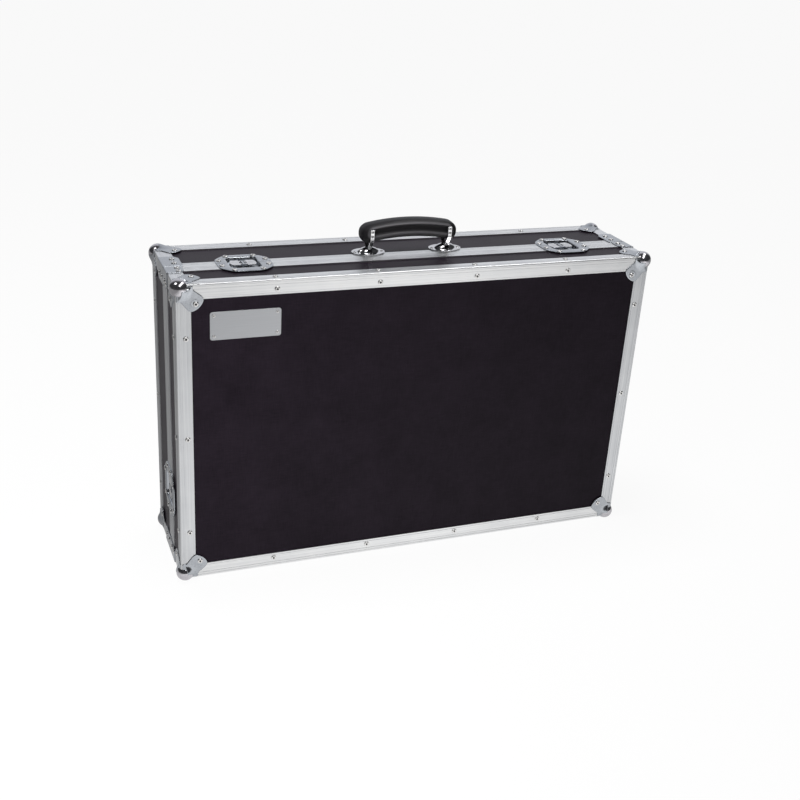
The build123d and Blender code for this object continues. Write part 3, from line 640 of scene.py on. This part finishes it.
def profile_curve(tree, share, heights):
    """A value along a profile, straight from ring to ring."""
    made = add_node(tree, "ShaderNodeFloatCurve", {"Value": share})
    curve = made.mapping.curves[0]
    last = len(heights) - 1
    while len(curve.points) < len(heights):
        curve.points.new(0.5, 0.5)
    for index, (point, height) in enumerate(zip(curve.points, heights)):
        point.location = (index / last, height)
        point.handle_type = "VECTOR"
    made.mapping.update()
    return made.outputs[0]


print("profile of", len(RIVET_RINGS), "rings")

# %% [markdown]
# The dome is a flat grid rolled up: one direction of the grid becomes the turn, the other runs along
# the profile, and two curves say how far out and how high each ring is. Points past the rim of the
# hole carry a mark, which the nickel finish turns dark as painted shade inside the shallow hole.
# Merging by distance closes the seam and both poles.

# %% Roll up a dome
RIVET_WELD = 0.001

tree = rivet_tree = bpy.data.node_groups.new("rivet_heads", "GeometryNodeTree")
tree.interface.new_socket("Geometry", in_out="INPUT", socket_type="NodeSocketGeometry")
SIDES_INPUT = tree.interface.new_socket("Sides", in_out="INPUT", socket_type="NodeSocketInt")
FINISH_INPUT = tree.interface.new_socket("Finish", in_out="INPUT", socket_type="NodeSocketMaterial")
tree.interface.new_socket("Geometry", in_out="OUTPUT", socket_type="NodeSocketGeometry")
given = add_node(tree, "NodeGroupInput").outputs
around = calculate(tree, "ADD", given["Sides"], 1.0)
sizes = {"Size X": 1.0, "Size Y": 1.0, "Vertices X": around, "Vertices Y": len(RIVET_RINGS)}
grid = add_node(tree, "GeometryNodeMeshGrid", sizes)
spot = add_node(tree, "GeometryNodeInputPosition").outputs[0]
flat = add_node(tree, "ShaderNodeSeparateXYZ", {0: spot})
turned = calculate(tree, "MULTIPLY", flat.outputs["X"], math.tau)
share = calculate(tree, "ADD", flat.outputs["Y"], 0.5)
reach = profile_curve(tree, share, [ring[0] for ring in RIVET_RINGS])
rise = profile_curve(tree, share, [ring[1] for ring in RIVET_RINGS])
rolled = add_node(
    tree,
    "ShaderNodeCombineXYZ",
    {
        "X": calculate(tree, "MULTIPLY", reach, calculate(tree, "COSINE", turned)),
        "Y": calculate(tree, "MULTIPLY", reach, calculate(tree, "SINE", turned)),
        "Z": rise,
    },
)
# The mark for the painted shade inside the hole.
hole_shade_mask = calculate(tree, "GREATER_THAN", share, HOLE_FROM / (len(RIVET_RINGS) - 1))
mark = {"Geometry": grid.outputs["Mesh"], "Name": "hole", "Value": hole_shade_mask}
marked = add_node(tree, "GeometryNodeStoreNamedAttribute", mark)
dome = add_node(
    tree, "GeometryNodeSetPosition", {"Geometry": marked.outputs[0], "Position": rolled.outputs[0]}
)
weld = {"Geometry": dome.outputs[0], "Distance": RIVET_WELD}
closed = add_node(tree, "GeometryNodeMergeByDistance", weld)
print("dome so far", len(tree.nodes), "nodes")

# %% [markdown]
# The dome is put on every point, turned to face outwards and scaled to its rivet. The copies are made
# real at the end, because only real faces can be kept as a mesh.

# %% A dome on every point
facing, size = (
    add_node(tree, "GeometryNodeInputNamedAttribute", {"Name": name}, data_type="FLOAT_VECTOR").outputs[0]
    for name in ("facing", "size")
)
aligned = add_node(tree, "FunctionNodeAlignRotationToVector", {"Vector": facing}, axis="Z")
placed = add_node(
    tree,
    "GeometryNodeInstanceOnPoints",
    {
        "Points": given["Geometry"],
        "Instance": closed.outputs[0],
        "Rotation": aligned.outputs[0],
        "Scale": size,
    },
)
real = add_node(tree, "GeometryNodeRealizeInstances", {0: placed.outputs[0]})
smooth = add_node(tree, "GeometryNodeSetShadeSmooth", {"Geometry": real.outputs[0]})
paint = {"Geometry": smooth.outputs[0], "Material": given["Finish"]}
painted = add_node(tree, "GeometryNodeSetMaterial", paint)
add_node(tree, "NodeGroupOutput", {0: painted.outputs[0]})
print("rivet tree", len(tree.nodes), "nodes")

# %% [markdown]
# The points carry two attributes of their own, the facing and the size, so one tree serves the big
# heads and the small ones. The result is turned into a plain mesh, one for each body.

# %% Put the rivets on
RIVET_SIDES = 10


def plain_mesh(made, name):
    """What an object's modifiers give, as a plain mesh. The object itself goes."""
    bpy.context.view_layer.update()
    evaluated = made.evaluated_get(bpy.context.evaluated_depsgraph_get())
    mesh = bpy.data.meshes.new_from_object(evaluated)
    mesh.name = name
    bpy.data.objects.remove(made)
    return mesh


def rivets_on(name, node):
    """Domed rivets in place of a node's plain ones."""
    seats = rivet_seats(node)
    cloud = bpy.data.meshes.new(f"{name}_points")
    cloud.from_pydata([seat[0] for seat in seats], [], [])
    for attribute, column in (("facing", 1), ("size", 2)):
        made = cloud.attributes.new(attribute, "FLOAT_VECTOR", "POINT")
        made.data.foreach_set("vector", [value for seat in seats for value in seat[column]])
    holder = bpy.data.objects.new(f"{name}_points", cloud)
    scene.collection.objects.link(holder)
    modifier = holder.modifiers.new("rivets", "NODES")
    modifier.node_group = rivet_tree
    modifier[SIDES_INPUT.identifier] = RIVET_SIDES
    modifier[FINISH_INPUT.identifier] = nickel
    add_piece(name, plain_mesh(holder, name), body_of_node(node), "rivets", nickel, node)
    return len(seats)


for name, node in (
    ("lid_domed_rivets", "lid_rivets"),
    ("base_domed_rivets", "base_rivets"),
    ("handle_domed_rivets", "handle_strap_rivets"),
):
    print(name, rivets_on(name, node))

# %% [markdown]
# A ball corner is a steel ball in a pressed cup whose three lugs lie on the three faces. The soft
# fillet where a lug runs up the ball is what the eye reads as pressed steel, and a boolean with
# bevels breaks just there. A distance field doesn't: it says how far each point of space is from the
# shape, shapes join by taking the smaller distance, and a smooth minimum rounds the join. A volume
# library then lays a mesh where the field is zero. The field's own slope gives the shading.

# %% A mesh from a distance field
SLOPE_STEP = 0.1


def smooth_min(first, second, soft):
    """The smaller of two distances, rounded where they meet."""
    near = np.clip(soft - np.abs(first - second), 0, None) / soft
    return np.minimum(first, second) - near * near * soft / 4


def smooth_max(first, second, soft):
    """The larger of two distances, rounded where they meet."""
    return -smooth_min(-first, -second, soft)


def mesh_of_field(field, low, high, pitch, merge_flat=0.0):
    """Points, faces and shading normals of the surface where a field is zero."""
    axis = np.arange(low, high + pitch, pitch)
    here = np.meshgrid(axis, axis, axis, indexing="ij")
    volume = openvdb.FloatGrid(background=1.0)
    volume.copyFromArray((field(*here) / pitch).astype(np.float32))
    points, triangles, quads = volume.convertToPolygons(isovalue=0.0, adaptivity=merge_flat)
    points = points.astype(float) * pitch + low
    step = pitch * SLOPE_STEP
    slope = [
        field(*(points + step * np.eye(3)[way]).T) - field(*(points - step * np.eye(3)[way]).T)
        for way in range(3)
    ]
    normals = np.array(slope).T
    normals /= np.linalg.norm(normals, axis=1)[:, None]
    faces = [list(face) for face in triangles] + [list(face) for face in quads]
    a, b, c = (points[[face[corner] for face in faces]] for corner in range(3))
    outward = np.einsum("ij,ij->i", np.cross(b - a, c - a), normals[[face[0] for face in faces]]).sum()
    if outward < 0:
        faces = [face[::-1] for face in faces]
    return points, faces, normals


# %% [markdown]
# The field of one corner is written inwards from the corner's apex, with all sizes in millimetres. How
# deep the middle of the ball lies follows from how far the frame's corner stands out. Everything
# inside the case is cut away, apart from a hair that sinks in so that no gap shows.

# %% Field of the ball
CUP_RADIUS = 13.9
CUP_STEEL = 0.6
BALL_RADIUS = CUP_RADIUS - CUP_STEEL
SOLID_RADIUS = 14.0
BALL_PROUD = (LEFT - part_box("lid_ball_corners")[0].x) / MM
BALL_INSET = SOLID_RADIUS - BALL_PROUD
SUNK = 0.3


def from_middle(a, b, c):
    """How far a point is from the middle of the ball."""
    return np.sqrt((a - BALL_INSET) ** 2 + (b - BALL_INSET) ** 2 + (c - BALL_INSET) ** 2)


def ball_field(a, b, c):
    """The ball, cut away where the case is."""
    return np.maximum(from_middle(a, b, c) - BALL_RADIUS, np.minimum(np.minimum(a, b), c) - SUNK)


print("middle of the ball", round(BALL_INSET, 2), "mm in from each face")

# %% [markdown]
# The three lugs of the cup are the same flat fan on three planes, and each climbs over the ball as its
# own part of the cup. The ball shows in the slits between them. Round its rivet each lug is pressed
# up in a low ring. Written once for one plane, the fan serves all three with its axes changed round.

# %% Field of the cup
LUG_NECK = (25.0, 8.0)
LUG_SHOULDER = (40.0, 19.5)
LUG_TIP = 33.5
LUG_SLIT = 2.0
LUG_THICK = 1.2
CUP_SOFT, FLANK_SOFT, TIP_SOFT, ROOT_SOFT, SLIT_SOFT = 6.0, 1.0, 5.0, 2.0, 1.5
SHEET_SOFT, SHELL_SOFT = 0.9, 0.8
CUP_SLIT = 8.6
LUG_RIVET = 28.2
RING_RADIUS, RING_WIDE, RING_HIGH = 5.6, 0.9, 0.2


def lug_fan(u, v):
    """A lug's outline on its plane: two straight flanks and a round end."""
    (neck, inner), (far, across) = LUG_NECK, LUG_SHOULDER
    long = math.hypot(far - neck, across - inner)

    def flank(p, q):
        return ((p - neck) * (across - inner) - (q - inner) * (far - neck)) / long

    middle = (far**2 + across**2 - 2 * LUG_TIP**2) / (2 * (far + across - 2 * LUG_TIP))
    round_end = np.hypot(u - middle, v - middle) - math.sqrt(2) * (LUG_TIP - middle)
    flanks = smooth_max(flank(u, v), flank(v, u), FLANK_SOFT)
    fan = smooth_max(flanks, round_end, TIP_SOFT)
    root = np.maximum(u, v) - neck
    return smooth_max(smooth_min(fan, root, ROOT_SOFT), LUG_SLIT - np.minimum(u, v), SLIT_SOFT)


def cup_field(a, b, c):
    """The three lugs, each run up the ball as far as the slits."""
    whole = None
    for u, v, w in ((a, b, c), (b, c, a), (c, a, b)):
        off_ring = (np.hypot(u - LUG_RIVET, v - LUG_RIVET) - RING_RADIUS) / RING_WIDE
        thick = LUG_THICK + RING_HIGH * np.exp(-(off_ring**2))
        sheet = np.abs(w + (thick - SUNK) / 2) - (thick + SUNK) / 2
        lug = smooth_max(lug_fan(u, v), sheet, SHEET_SOFT)
        shell = smooth_max(from_middle(a, b, c) - CUP_RADIUS, CUP_SLIT - np.minimum(u, v), SHELL_SOFT)
        lug = smooth_min(lug, shell, CUP_SOFT)
        whole = lug if whole is None else np.minimum(whole, lug)
    return np.maximum(whole, np.minimum(np.minimum(a, b), c) - SUNK)


# %% [markdown]
# The other seven corners are the same shape seen in a mirror. A mirrored mesh turns inside out, so
# where an odd number of axes is flipped, each face is wound the other way.

# %% Eight ball corners
FIELD_LOW, FIELD_HIGH, FIELD_MARGIN = -9.0, 44.0, 1.0
CUP_PITCH, BALL_PITCH = 0.75, 0.9
FLAT_MERGE = 0.02


def at_four_corners(name, shape, depth, inwards):
    """One mesh with a corner piece at each of the four corners of a face."""
    points, faces, normals = shape
    all_points, all_faces, all_normals = [], [], []
    for x, to_right in ((LEFT, 1), (RIGHT, -1)):
        for z, up in ((BOTTOM, 1), (TOP, -1)):
            flip = np.array((to_right, inwards, up))
            first = sum(len(batch) for batch in all_points)
            all_points.append(np.array((x, depth, z)) + points * flip * MM)
            all_normals.append(normals * flip)
            way = 1 if to_right * inwards * up > 0 else -1
            all_faces += [[first + corner for corner in face[::way]] for face in faces]
    mesh = bpy.data.meshes.new(name)
    mesh.from_pydata(np.concatenate(all_points).tolist(), [], all_faces)
    mesh.shade_smooth()
    mesh.normals_split_custom_set_from_vertices(np.concatenate(all_normals).tolist())
    return mesh


CUP = mesh_of_field(cup_field, FIELD_LOW, FIELD_HIGH, CUP_PITCH, merge_flat=FLAT_MERGE)
BALL = mesh_of_field(ball_field, FIELD_LOW, BALL_INSET + BALL_RADIUS + FIELD_MARGIN, BALL_PITCH)
for body, depth, inwards in (("lid", FRONT, 1), ("base", REAR, -1)):
    cups = at_four_corners(f"{body}_corner_cups", CUP, depth, inwards)
    add_piece(f"{body}_corner_cups", cups, body, "zinc_steel", zinc, f"{body}_ball_corners")
    balls = at_four_corners(f"{body}_corner_balls", BALL, depth, inwards)
    add_piece(f"{body}_corner_balls", balls, body, "zinc_steel", ball_steel, f"{body}_ball_corners")
print("corner:", len(CUP[1]), "faces in a cup,", len(BALL[1]), "in a ball")

# %% [markdown]
# The latch sits in a pressed dish: a flat rim with eight cut corners, and a pan sunk through the wall.
# A press leaves no sharp edge, so the dish is a loft through rings. Each ring is the same kind of
# outline, a rectangle with cut and rounded corners, at its own level. With the cut just so long as the
# rounding asks, the two arcs at a corner become one quarter circle, which is the pan's outline.

# %% Rings of a latch dish
DISH_HALF, DISH_TO_LID, DISH_TO_BASE = 39.5, 38.5, 36.0
DISH_CHAMFER, DISH_ROUND = 18.0, 20.0
PAN_HALF, PAN_TO_LID, PAN_TO_BASE, PAN_ROUND = 21.5, 22.0, 25.5, 8.0
OCTAGON_TURN = math.radians(45)
CUT_OF_ROUND = 2 - math.sqrt(2)
ARC_STEPS = 4
RIM_RINGS = ((0.0, 0.0), (0.0, 0.55), (0.28, 1.0), (0.8, 1.2))
PAN_RINGS = ((-2.8, 1.2), (-1.5, 0.95), (-0.6, 0.3), (-0.1, -0.9), (0.1, -5.0), (0.7, -6.6), (2.0, -7.4))
UNDER_RINGS = ((1.7, -8.4), (-0.9, -6.9), (-1.0, -0.2))


def octagon_ring(half, low, high, cut, rounding, level):
    """Points round a rectangle with cut corners, each of its eight corners rounded."""
    corners = (
        (half, low + cut),
        (half, high - cut),
        (half - cut, high),
        (cut - half, high),
        (-half, high - cut),
        (-half, low + cut),
        (cut - half, low),
        (half - cut, low),
    )
    points = []
    for index, (x, y) in enumerate(corners):
        middle = (index - 0.5) * OCTAGON_TURN
        back = rounding / math.cos(OCTAGON_TURN / 2)
        x, y = x - back * math.cos(middle), y - back * math.sin(middle)
        for step in range(ARC_STEPS + 1):
            angle = middle + OCTAGON_TURN * (step / ARC_STEPS - 0.5)
            points.append((x + rounding * math.cos(angle), y + rounding * math.sin(angle), level))
    return points


def rim_ring(inset, level):
    """A ring of the dish's rim, drawn in from its outer edge."""
    return octagon_ring(
        DISH_HALF - inset,
        inset - DISH_TO_LID,
        DISH_TO_BASE - inset,
        DISH_CHAMFER - CUT_OF_ROUND * inset,
        DISH_ROUND - inset,
        level,
    )


def pan_ring(inset, level):
    """A ring of the pan, drawn in from its wall."""
    rounding = PAN_ROUND - inset
    return octagon_ring(
        PAN_HALF - inset, inset - PAN_TO_LID, PAN_TO_BASE - inset, CUT_OF_ROUND * rounding, rounding, level
    )


print("rings", len(RIM_RINGS), "on the rim,", len(PAN_RINGS), "in the pan,", len(UNDER_RINGS), "below")

# %% [markdown]
# The rings are joined by strips of faces and the first and last are capped, which makes one closed
# sheet of steel. The dish is then sawn in two at the joint line: the keeper goes with the lid, and
# the half with the works goes with the base.

# %% Loft and saw
ON_PLANE = 1e-6


def loft(rings):
    """A closed shape through rings of the same number of points."""
    shape = bmesh.new()
    rows = [[shape.verts.new(point) for point in ring] for ring in rings]
    for near, far in zip(rows, rows[1:]):
        for index in range(len(near)):
            shape.faces.new((near[index - 1], near[index], far[index], far[index - 1]))
    shape.faces.new(rows[0])
    shape.faces.new(rows[-1])
    bmesh.ops.recalc_face_normals(shape, faces=shape.faces)
    return shape


def sawn(shape, place, away):
    """What is left of a closed shape on one side of a plane, with the cut closed."""
    everything = shape.verts[:] + shape.edges[:] + shape.faces[:]
    bmesh.ops.bisect_plane(
        shape, geom=everything, dist=ON_PLANE, plane_co=place, plane_no=away, clear_outer=True
    )
    open_edges = [edge for edge in shape.edges if edge.is_boundary]
    bmesh.ops.holes_fill(shape, edges=open_edges, sides=0)
    bmesh.ops.recalc_face_normals(shape, faces=shape.faces)
    return shape


# %% [markdown]
# Three more helpers serve the latches and what comes after them: a block with rounded edges, the place
# of the side that a latch sits on, and the last step from a shape to a mesh. That step shades all
# smooth and marks the sharp edges by their angle, which spares a bevel where none would be seen.

# %% Blocks, places and meshes
CREASE = 35


def add_block(shape, low, high, rounding):
    """A block with rounded edges, added to a shape."""
    low, high = Vector(low), Vector(high)
    size = Matrix.Translation((low + high) / 2) @ Matrix.Diagonal((*(high - low), 1))
    corners = bmesh.ops.create_cube(shape, size=1, matrix=size)["verts"]
    edges = dict.fromkeys(edge for corner in corners for edge in corner.link_edges)
    bmesh.ops.bevel(shape, geom=list(edges), offset=rounding, segments=2, affect="EDGES", profile=0.5)


def side_place(node):
    """Takes millimetres, counted on a latch's side from the joint line, to their place on the case."""
    low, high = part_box(node)
    middle = (low + high) / 2
    if middle.z > TOP - DISH_HALF * MM:
        spot, turn = (middle.x, PARTING, TOP), 0
    elif middle.x < 0:
        spot, turn = (LEFT, PARTING, middle.z), -90
    else:
        spot, turn = (RIGHT, PARTING, middle.z), 90
    return Matrix.Translation(spot) @ Matrix.Rotation(math.radians(turn), 4, "Y") @ Matrix.Scale(MM, 4)


def finished_mesh(shape, name, place=None, crease=CREASE):
    """A mesh from a shape, put in its place, smooth but for its sharp edges."""
    if place is not None:
        shape.transform(place)
    mesh = bpy.data.meshes.new(name)
    shape.to_mesh(mesh)
    shape.free()
    mesh.shade_smooth()
    mesh.set_sharp_from_angle(angle=math.radians(crease))
    return mesh


# %% [markdown]
# All four latches are the same, so one loft is turned onto each side. The keeper gets the lip that the
# hook grips, and the other half the pad that its works lie on. Both are rounded blocks that stand
# on the pan's floor.

# %% Dishes of the four latches
SAW_GAP = 0.3
BLOCK_ROUND = 0.4
KEEPER_BLOCK = ((-11.0, -12.2, -7.4), (11.0, -10.6, -6.0))
WORKS_PAD = ((-12.5, 0.3, -7.4), (12.5, 22.0, -5.95))
LATCHES = ("top_left", "top_right", "left", "right")
DISH_LOFT = (
    [pan_ring(*ring) for ring in reversed(PAN_RINGS)]
    + [rim_ring(*ring) for ring in reversed(RIM_RINGS)]
    + [pan_ring(*ring) for ring in reversed(UNDER_RINGS)]
)
for latch in LATCHES:
    place = side_place(f"{latch}_latch_rotor")
    keeper = sawn(loft(DISH_LOFT), (0, -SAW_GAP, 0), (0, 1, 0))
    add_block(keeper, *KEEPER_BLOCK, BLOCK_ROUND)
    works = sawn(loft(DISH_LOFT), (0, SAW_GAP, 0), (0, -1, 0))
    add_block(works, *WORKS_PAD, BLOCK_ROUND)
    for half, shape in (("keeper", keeper), ("dish", works)):
        node = f"{latch}_latch_{half}"
        mesh = finished_mesh(shape, f"{node}_pressed", place)
        add_piece(mesh.name, mesh, body_of_node(node), "zinc_steel", zinc, node)
print("dish rings", len(DISH_LOFT), "of", len(DISH_LOFT[0]), "points")

# %% [markdown]
# Cut and bent steel keeps its outline, and only its edges are broken, so it needn't be modelled anew.
# For such pieces a copy of the frame's triangles is joined, its flat faces are made whole again, and
# the Bevel modifier rounds what is sharp. Weighted normals keep the flats flat.

# %% Pieces with broken edges
STRAIGHT = math.radians(1)
SHARP = math.radians(38)
BRACKET_EDGE, SADDLE_EDGE, STIRRUP_EDGE, PLATE_EDGE = 0.5, 0.3, 0.35, 0.25
ROTOR_EDGE, HOOK_EDGE, WING_EDGE = 0.15, 0.2, 0.4
EDGE_STEPS = 2


def whole_faced(node):
    """A copy of a node, with its flat faces made whole again."""
    shape = merged_copy(node)
    bmesh.ops.dissolve_limit(shape, angle_limit=STRAIGHT, verts=shape.verts, edges=shape.edges)
    return shape


def held(shape, name):
    """An object that holds a shape while modifiers work on it."""
    holder = bpy.data.objects.new(f"{name}_plain", finished_mesh(shape, f"{name}_plain"))
    scene.collection.objects.link(holder)
    return holder


def softened(node, name, width, finish, slot):
    """A frame piece again, with its edges rounded."""
    holder = held(whole_faced(node), name)
    bevel = holder.modifiers.new("edges", "BEVEL")
    bevel.width = width * MM
    bevel.segments = EDGE_STEPS
    bevel.limit_method = "ANGLE"
    bevel.angle_limit = SHARP
    bevel.use_clamp_overlap = True
    weighted = holder.modifiers.new("normals", "WEIGHTED_NORMAL")
    weighted.keep_sharp = True
    piece = add_piece(name, plain_mesh(holder, name), body_of_node(node), slot, finish, node)
    print(name, len(piece.data.polygons), "faces")


for body in ("lid", "base"):
    softened(f"{body}_corner_brackets", f"{body}_bent_brackets", BRACKET_EDGE, zinc, "zinc_steel")
for latch in LATCHES:
    softened(f"{latch}_latch_rotor", f"{latch}_turned_rotor", ROTOR_EDGE, zinc, "zinc_steel")
    softened(f"{latch}_latch_hook", f"{latch}_cut_hook", HOOK_EDGE, zinc, "zinc_steel")
    for wing in ("wing_a", "wing_b"):
        softened(f"{latch}_latch_{wing}", f"{latch}_polished_{wing}", WING_EDGE, chrome, "zinc_steel")
softened("handle_plates", "handle_saddles", SADDLE_EDGE, chrome, "chrome")
softened("handle_straps", "handle_stirrups", STIRRUP_EDGE, chrome, "chrome")
softened("nameplate", "bare_nameplate", PLATE_EDGE, satin, "nameplate")

# %% [markdown]
# The grip is a stuffed skin, welted: a rounded cord runs round each side face under the leather, and the
# face inside it lies hollow. The skin is stretched firm, so nothing has to be simulated as cloth, and
# a rule can say where it lies. These are the sizes and the rules.

# %% Rules of the grip
grip_low, grip_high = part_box("handle_grip")
GRIP_HALF = grip_high.x / MM
GRIP_SHY = 0.1
GRIP_DEEP = (grip_high.y - grip_low.y) / 2 / MM - GRIP_SHY
GRIP_CENTRE = Vector((0, (grip_low.y + grip_high.y) / 2, TOP))
GRIP_TOP = (50.6, 44.6)
GRIP_BOTTOM = (23.0, 16.8)
GRIP_STATIONS = 72
GRIP_AROUND = 56
GRIP_SQUARE = 2.9
GRIP_CAP = 13.0
GRIP_CREASE = 60
ARCH_LOWEST = -0.25
CAP_FALL, CAP_ROUND = 3.4, 2.2
SIDE_FROM, SIDE_OVER = 0.55, 0.3
WELT_MIDDLE, WELT_HIGH, WELT_LONG = 1.3, 6.9, 66.0
WELT_WIDE = 1.6
HOLLOW = 2.6
HOLLOW_FROM, HOLLOW_OVER = 0.8, 3.2
WELT_PROUD = 1.2


def softly(value):
    """A smooth step from 0 to 1."""
    value = min(max(value, 0.0), 1.0)
    return value * value * (3 - 2 * value)


def welt_distance(x, height):
    """How far a point of the side face is from the welt's loop, less than zero inside it."""
    over = Vector((max(abs(x) - WELT_LONG + WELT_HIGH, 0), abs(height - WELT_MIDDLE)))
    return over.length - WELT_HIGH


def signed_power(value, power):
    """A power that keeps the sign."""
    return math.copysign(abs(value) ** power, value)


print("grip", round(2 * GRIP_HALF, 1), "mm long,", round(2 * GRIP_DEEP, 1), "mm deep")

# %% [markdown]
# The grip is a loft of rounded sections along an arch, set closer towards the two ends. Each point of
# a side face moves in by how far it lies inside the welt's loop, and remembers how near the cord it
# is, for a highlight that is painted into the leather along the cord.

# %% Grip
grip_rings = []
grip_welt_highlight = []
for station in range(GRIP_STATIONS):
    along = -math.cos(math.pi * (station + 0.5) / GRIP_STATIONS)
    x = GRIP_HALF * along
    arch = 1 - (x / (GRIP_HALF - GRIP_CAP)) ** 2
    arch = max(arch, ARCH_LOWEST)
    top = GRIP_TOP[1] + (GRIP_TOP[0] - GRIP_TOP[1]) * arch
    bottom = GRIP_BOTTOM[1] + (GRIP_BOTTOM[0] - GRIP_BOTTOM[1]) * arch
    past = max(abs(x) - GRIP_HALF + GRIP_CAP, 0) / GRIP_CAP
    high = (top - bottom) / 2 * math.sqrt(1 - past**2)
    deep = GRIP_DEEP * (1 - past**CAP_FALL) ** (1 / CAP_ROUND)
    ring = []
    for step in range(GRIP_AROUND):
        angle = math.tau * step / GRIP_AROUND
        y = deep * signed_power(math.cos(angle), 2 / GRIP_SQUARE)
        z = high * signed_power(math.sin(angle), 2 / GRIP_SQUARE)
        away = welt_distance(x, z)
        on_side = softly((abs(y) / GRIP_DEEP - SIDE_FROM) / SIDE_OVER)
        cord = math.exp(-((away / WELT_WIDE) ** 2))
        moved = WELT_PROUD * (cord - 1) - HOLLOW * softly((-away - HOLLOW_FROM) / HOLLOW_OVER)
        y = math.copysign(max(abs(y) + on_side * moved, 0), y)
        ring.append((x, y, (top + bottom) / 2 + z))
        # How much painted highlight this point gets, near the cord on a side face.
        grip_welt_highlight.append(cord * on_side)
    grip_rings.append(ring)
grip_place = Matrix.Translation(GRIP_CENTRE) @ Matrix.Scale(MM, 4)
grip_mesh = finished_mesh(loft(grip_rings), "welted_grip", grip_place, crease=GRIP_CREASE)
grip_mesh.attributes.new("welt", "FLOAT", "POINT").data.foreach_set("value", grip_welt_highlight)
grip = add_piece("welted_grip", grip_mesh, "handle", "grip", leather, "handle_grip")
print("grip", len(grip_mesh.vertices), "points")

# %% [markdown]
# Inside, grey foam holds the machine. It was sawn from a block, so it is straight, but a saw blade leaves
# soft corners and a slightly uneven face. A bevel alone would leave long, thin faces that can't be
# moved. A voxel remesh gives an even skin, and a broad, slow noise sinks it by up to half a millimetre.

# %% Foam
FOAM_VOXEL = 6.0
FOAM_ROUND = 3.0
FOAM_UNEVEN = 0.5
FOAM_WAVES = 22.0


def foam_piece(node, name):
    """A foam solid of the frame again, with soft corners and an uneven face."""
    shape = whole_faced(node)
    bmesh.ops.bevel(
        shape,
        geom=shape.edges[:],
        offset=FOAM_ROUND * MM,
        segments=3,
        affect="EDGES",
        profile=0.5,
        clamp_overlap=True,
    )
    holder = held(shape, name)
    remesh = holder.modifiers.new("skin", "REMESH")
    remesh.mode = "VOXEL"
    remesh.voxel_size = FOAM_VOXEL * MM
    mesh = plain_mesh(holder, name)
    skin = [(point.co.copy(), point.normal.copy()) for point in mesh.vertices]
    sunk = [
        spot - outward * FOAM_UNEVEN * MM * (1 + mathutils.noise.noise(spot * FOAM_WAVES)) / 2
        for spot, outward in skin
    ]
    mesh.vertices.foreach_set("co", [value for spot in sunk for value in spot])
    mesh.shade_smooth()
    piece = add_piece(name, mesh, body_of_node(node), "foam", foam, node)
    return len(mesh.polygons)


for node, name in (
    ("lid_foam_pad", "soft_lid_pad"),
    ("base_foam_bed", "soft_base_bed"),
    ("base_foam_walls", "soft_base_walls"),
):
    print(name, foam_piece(node, name), "faces")
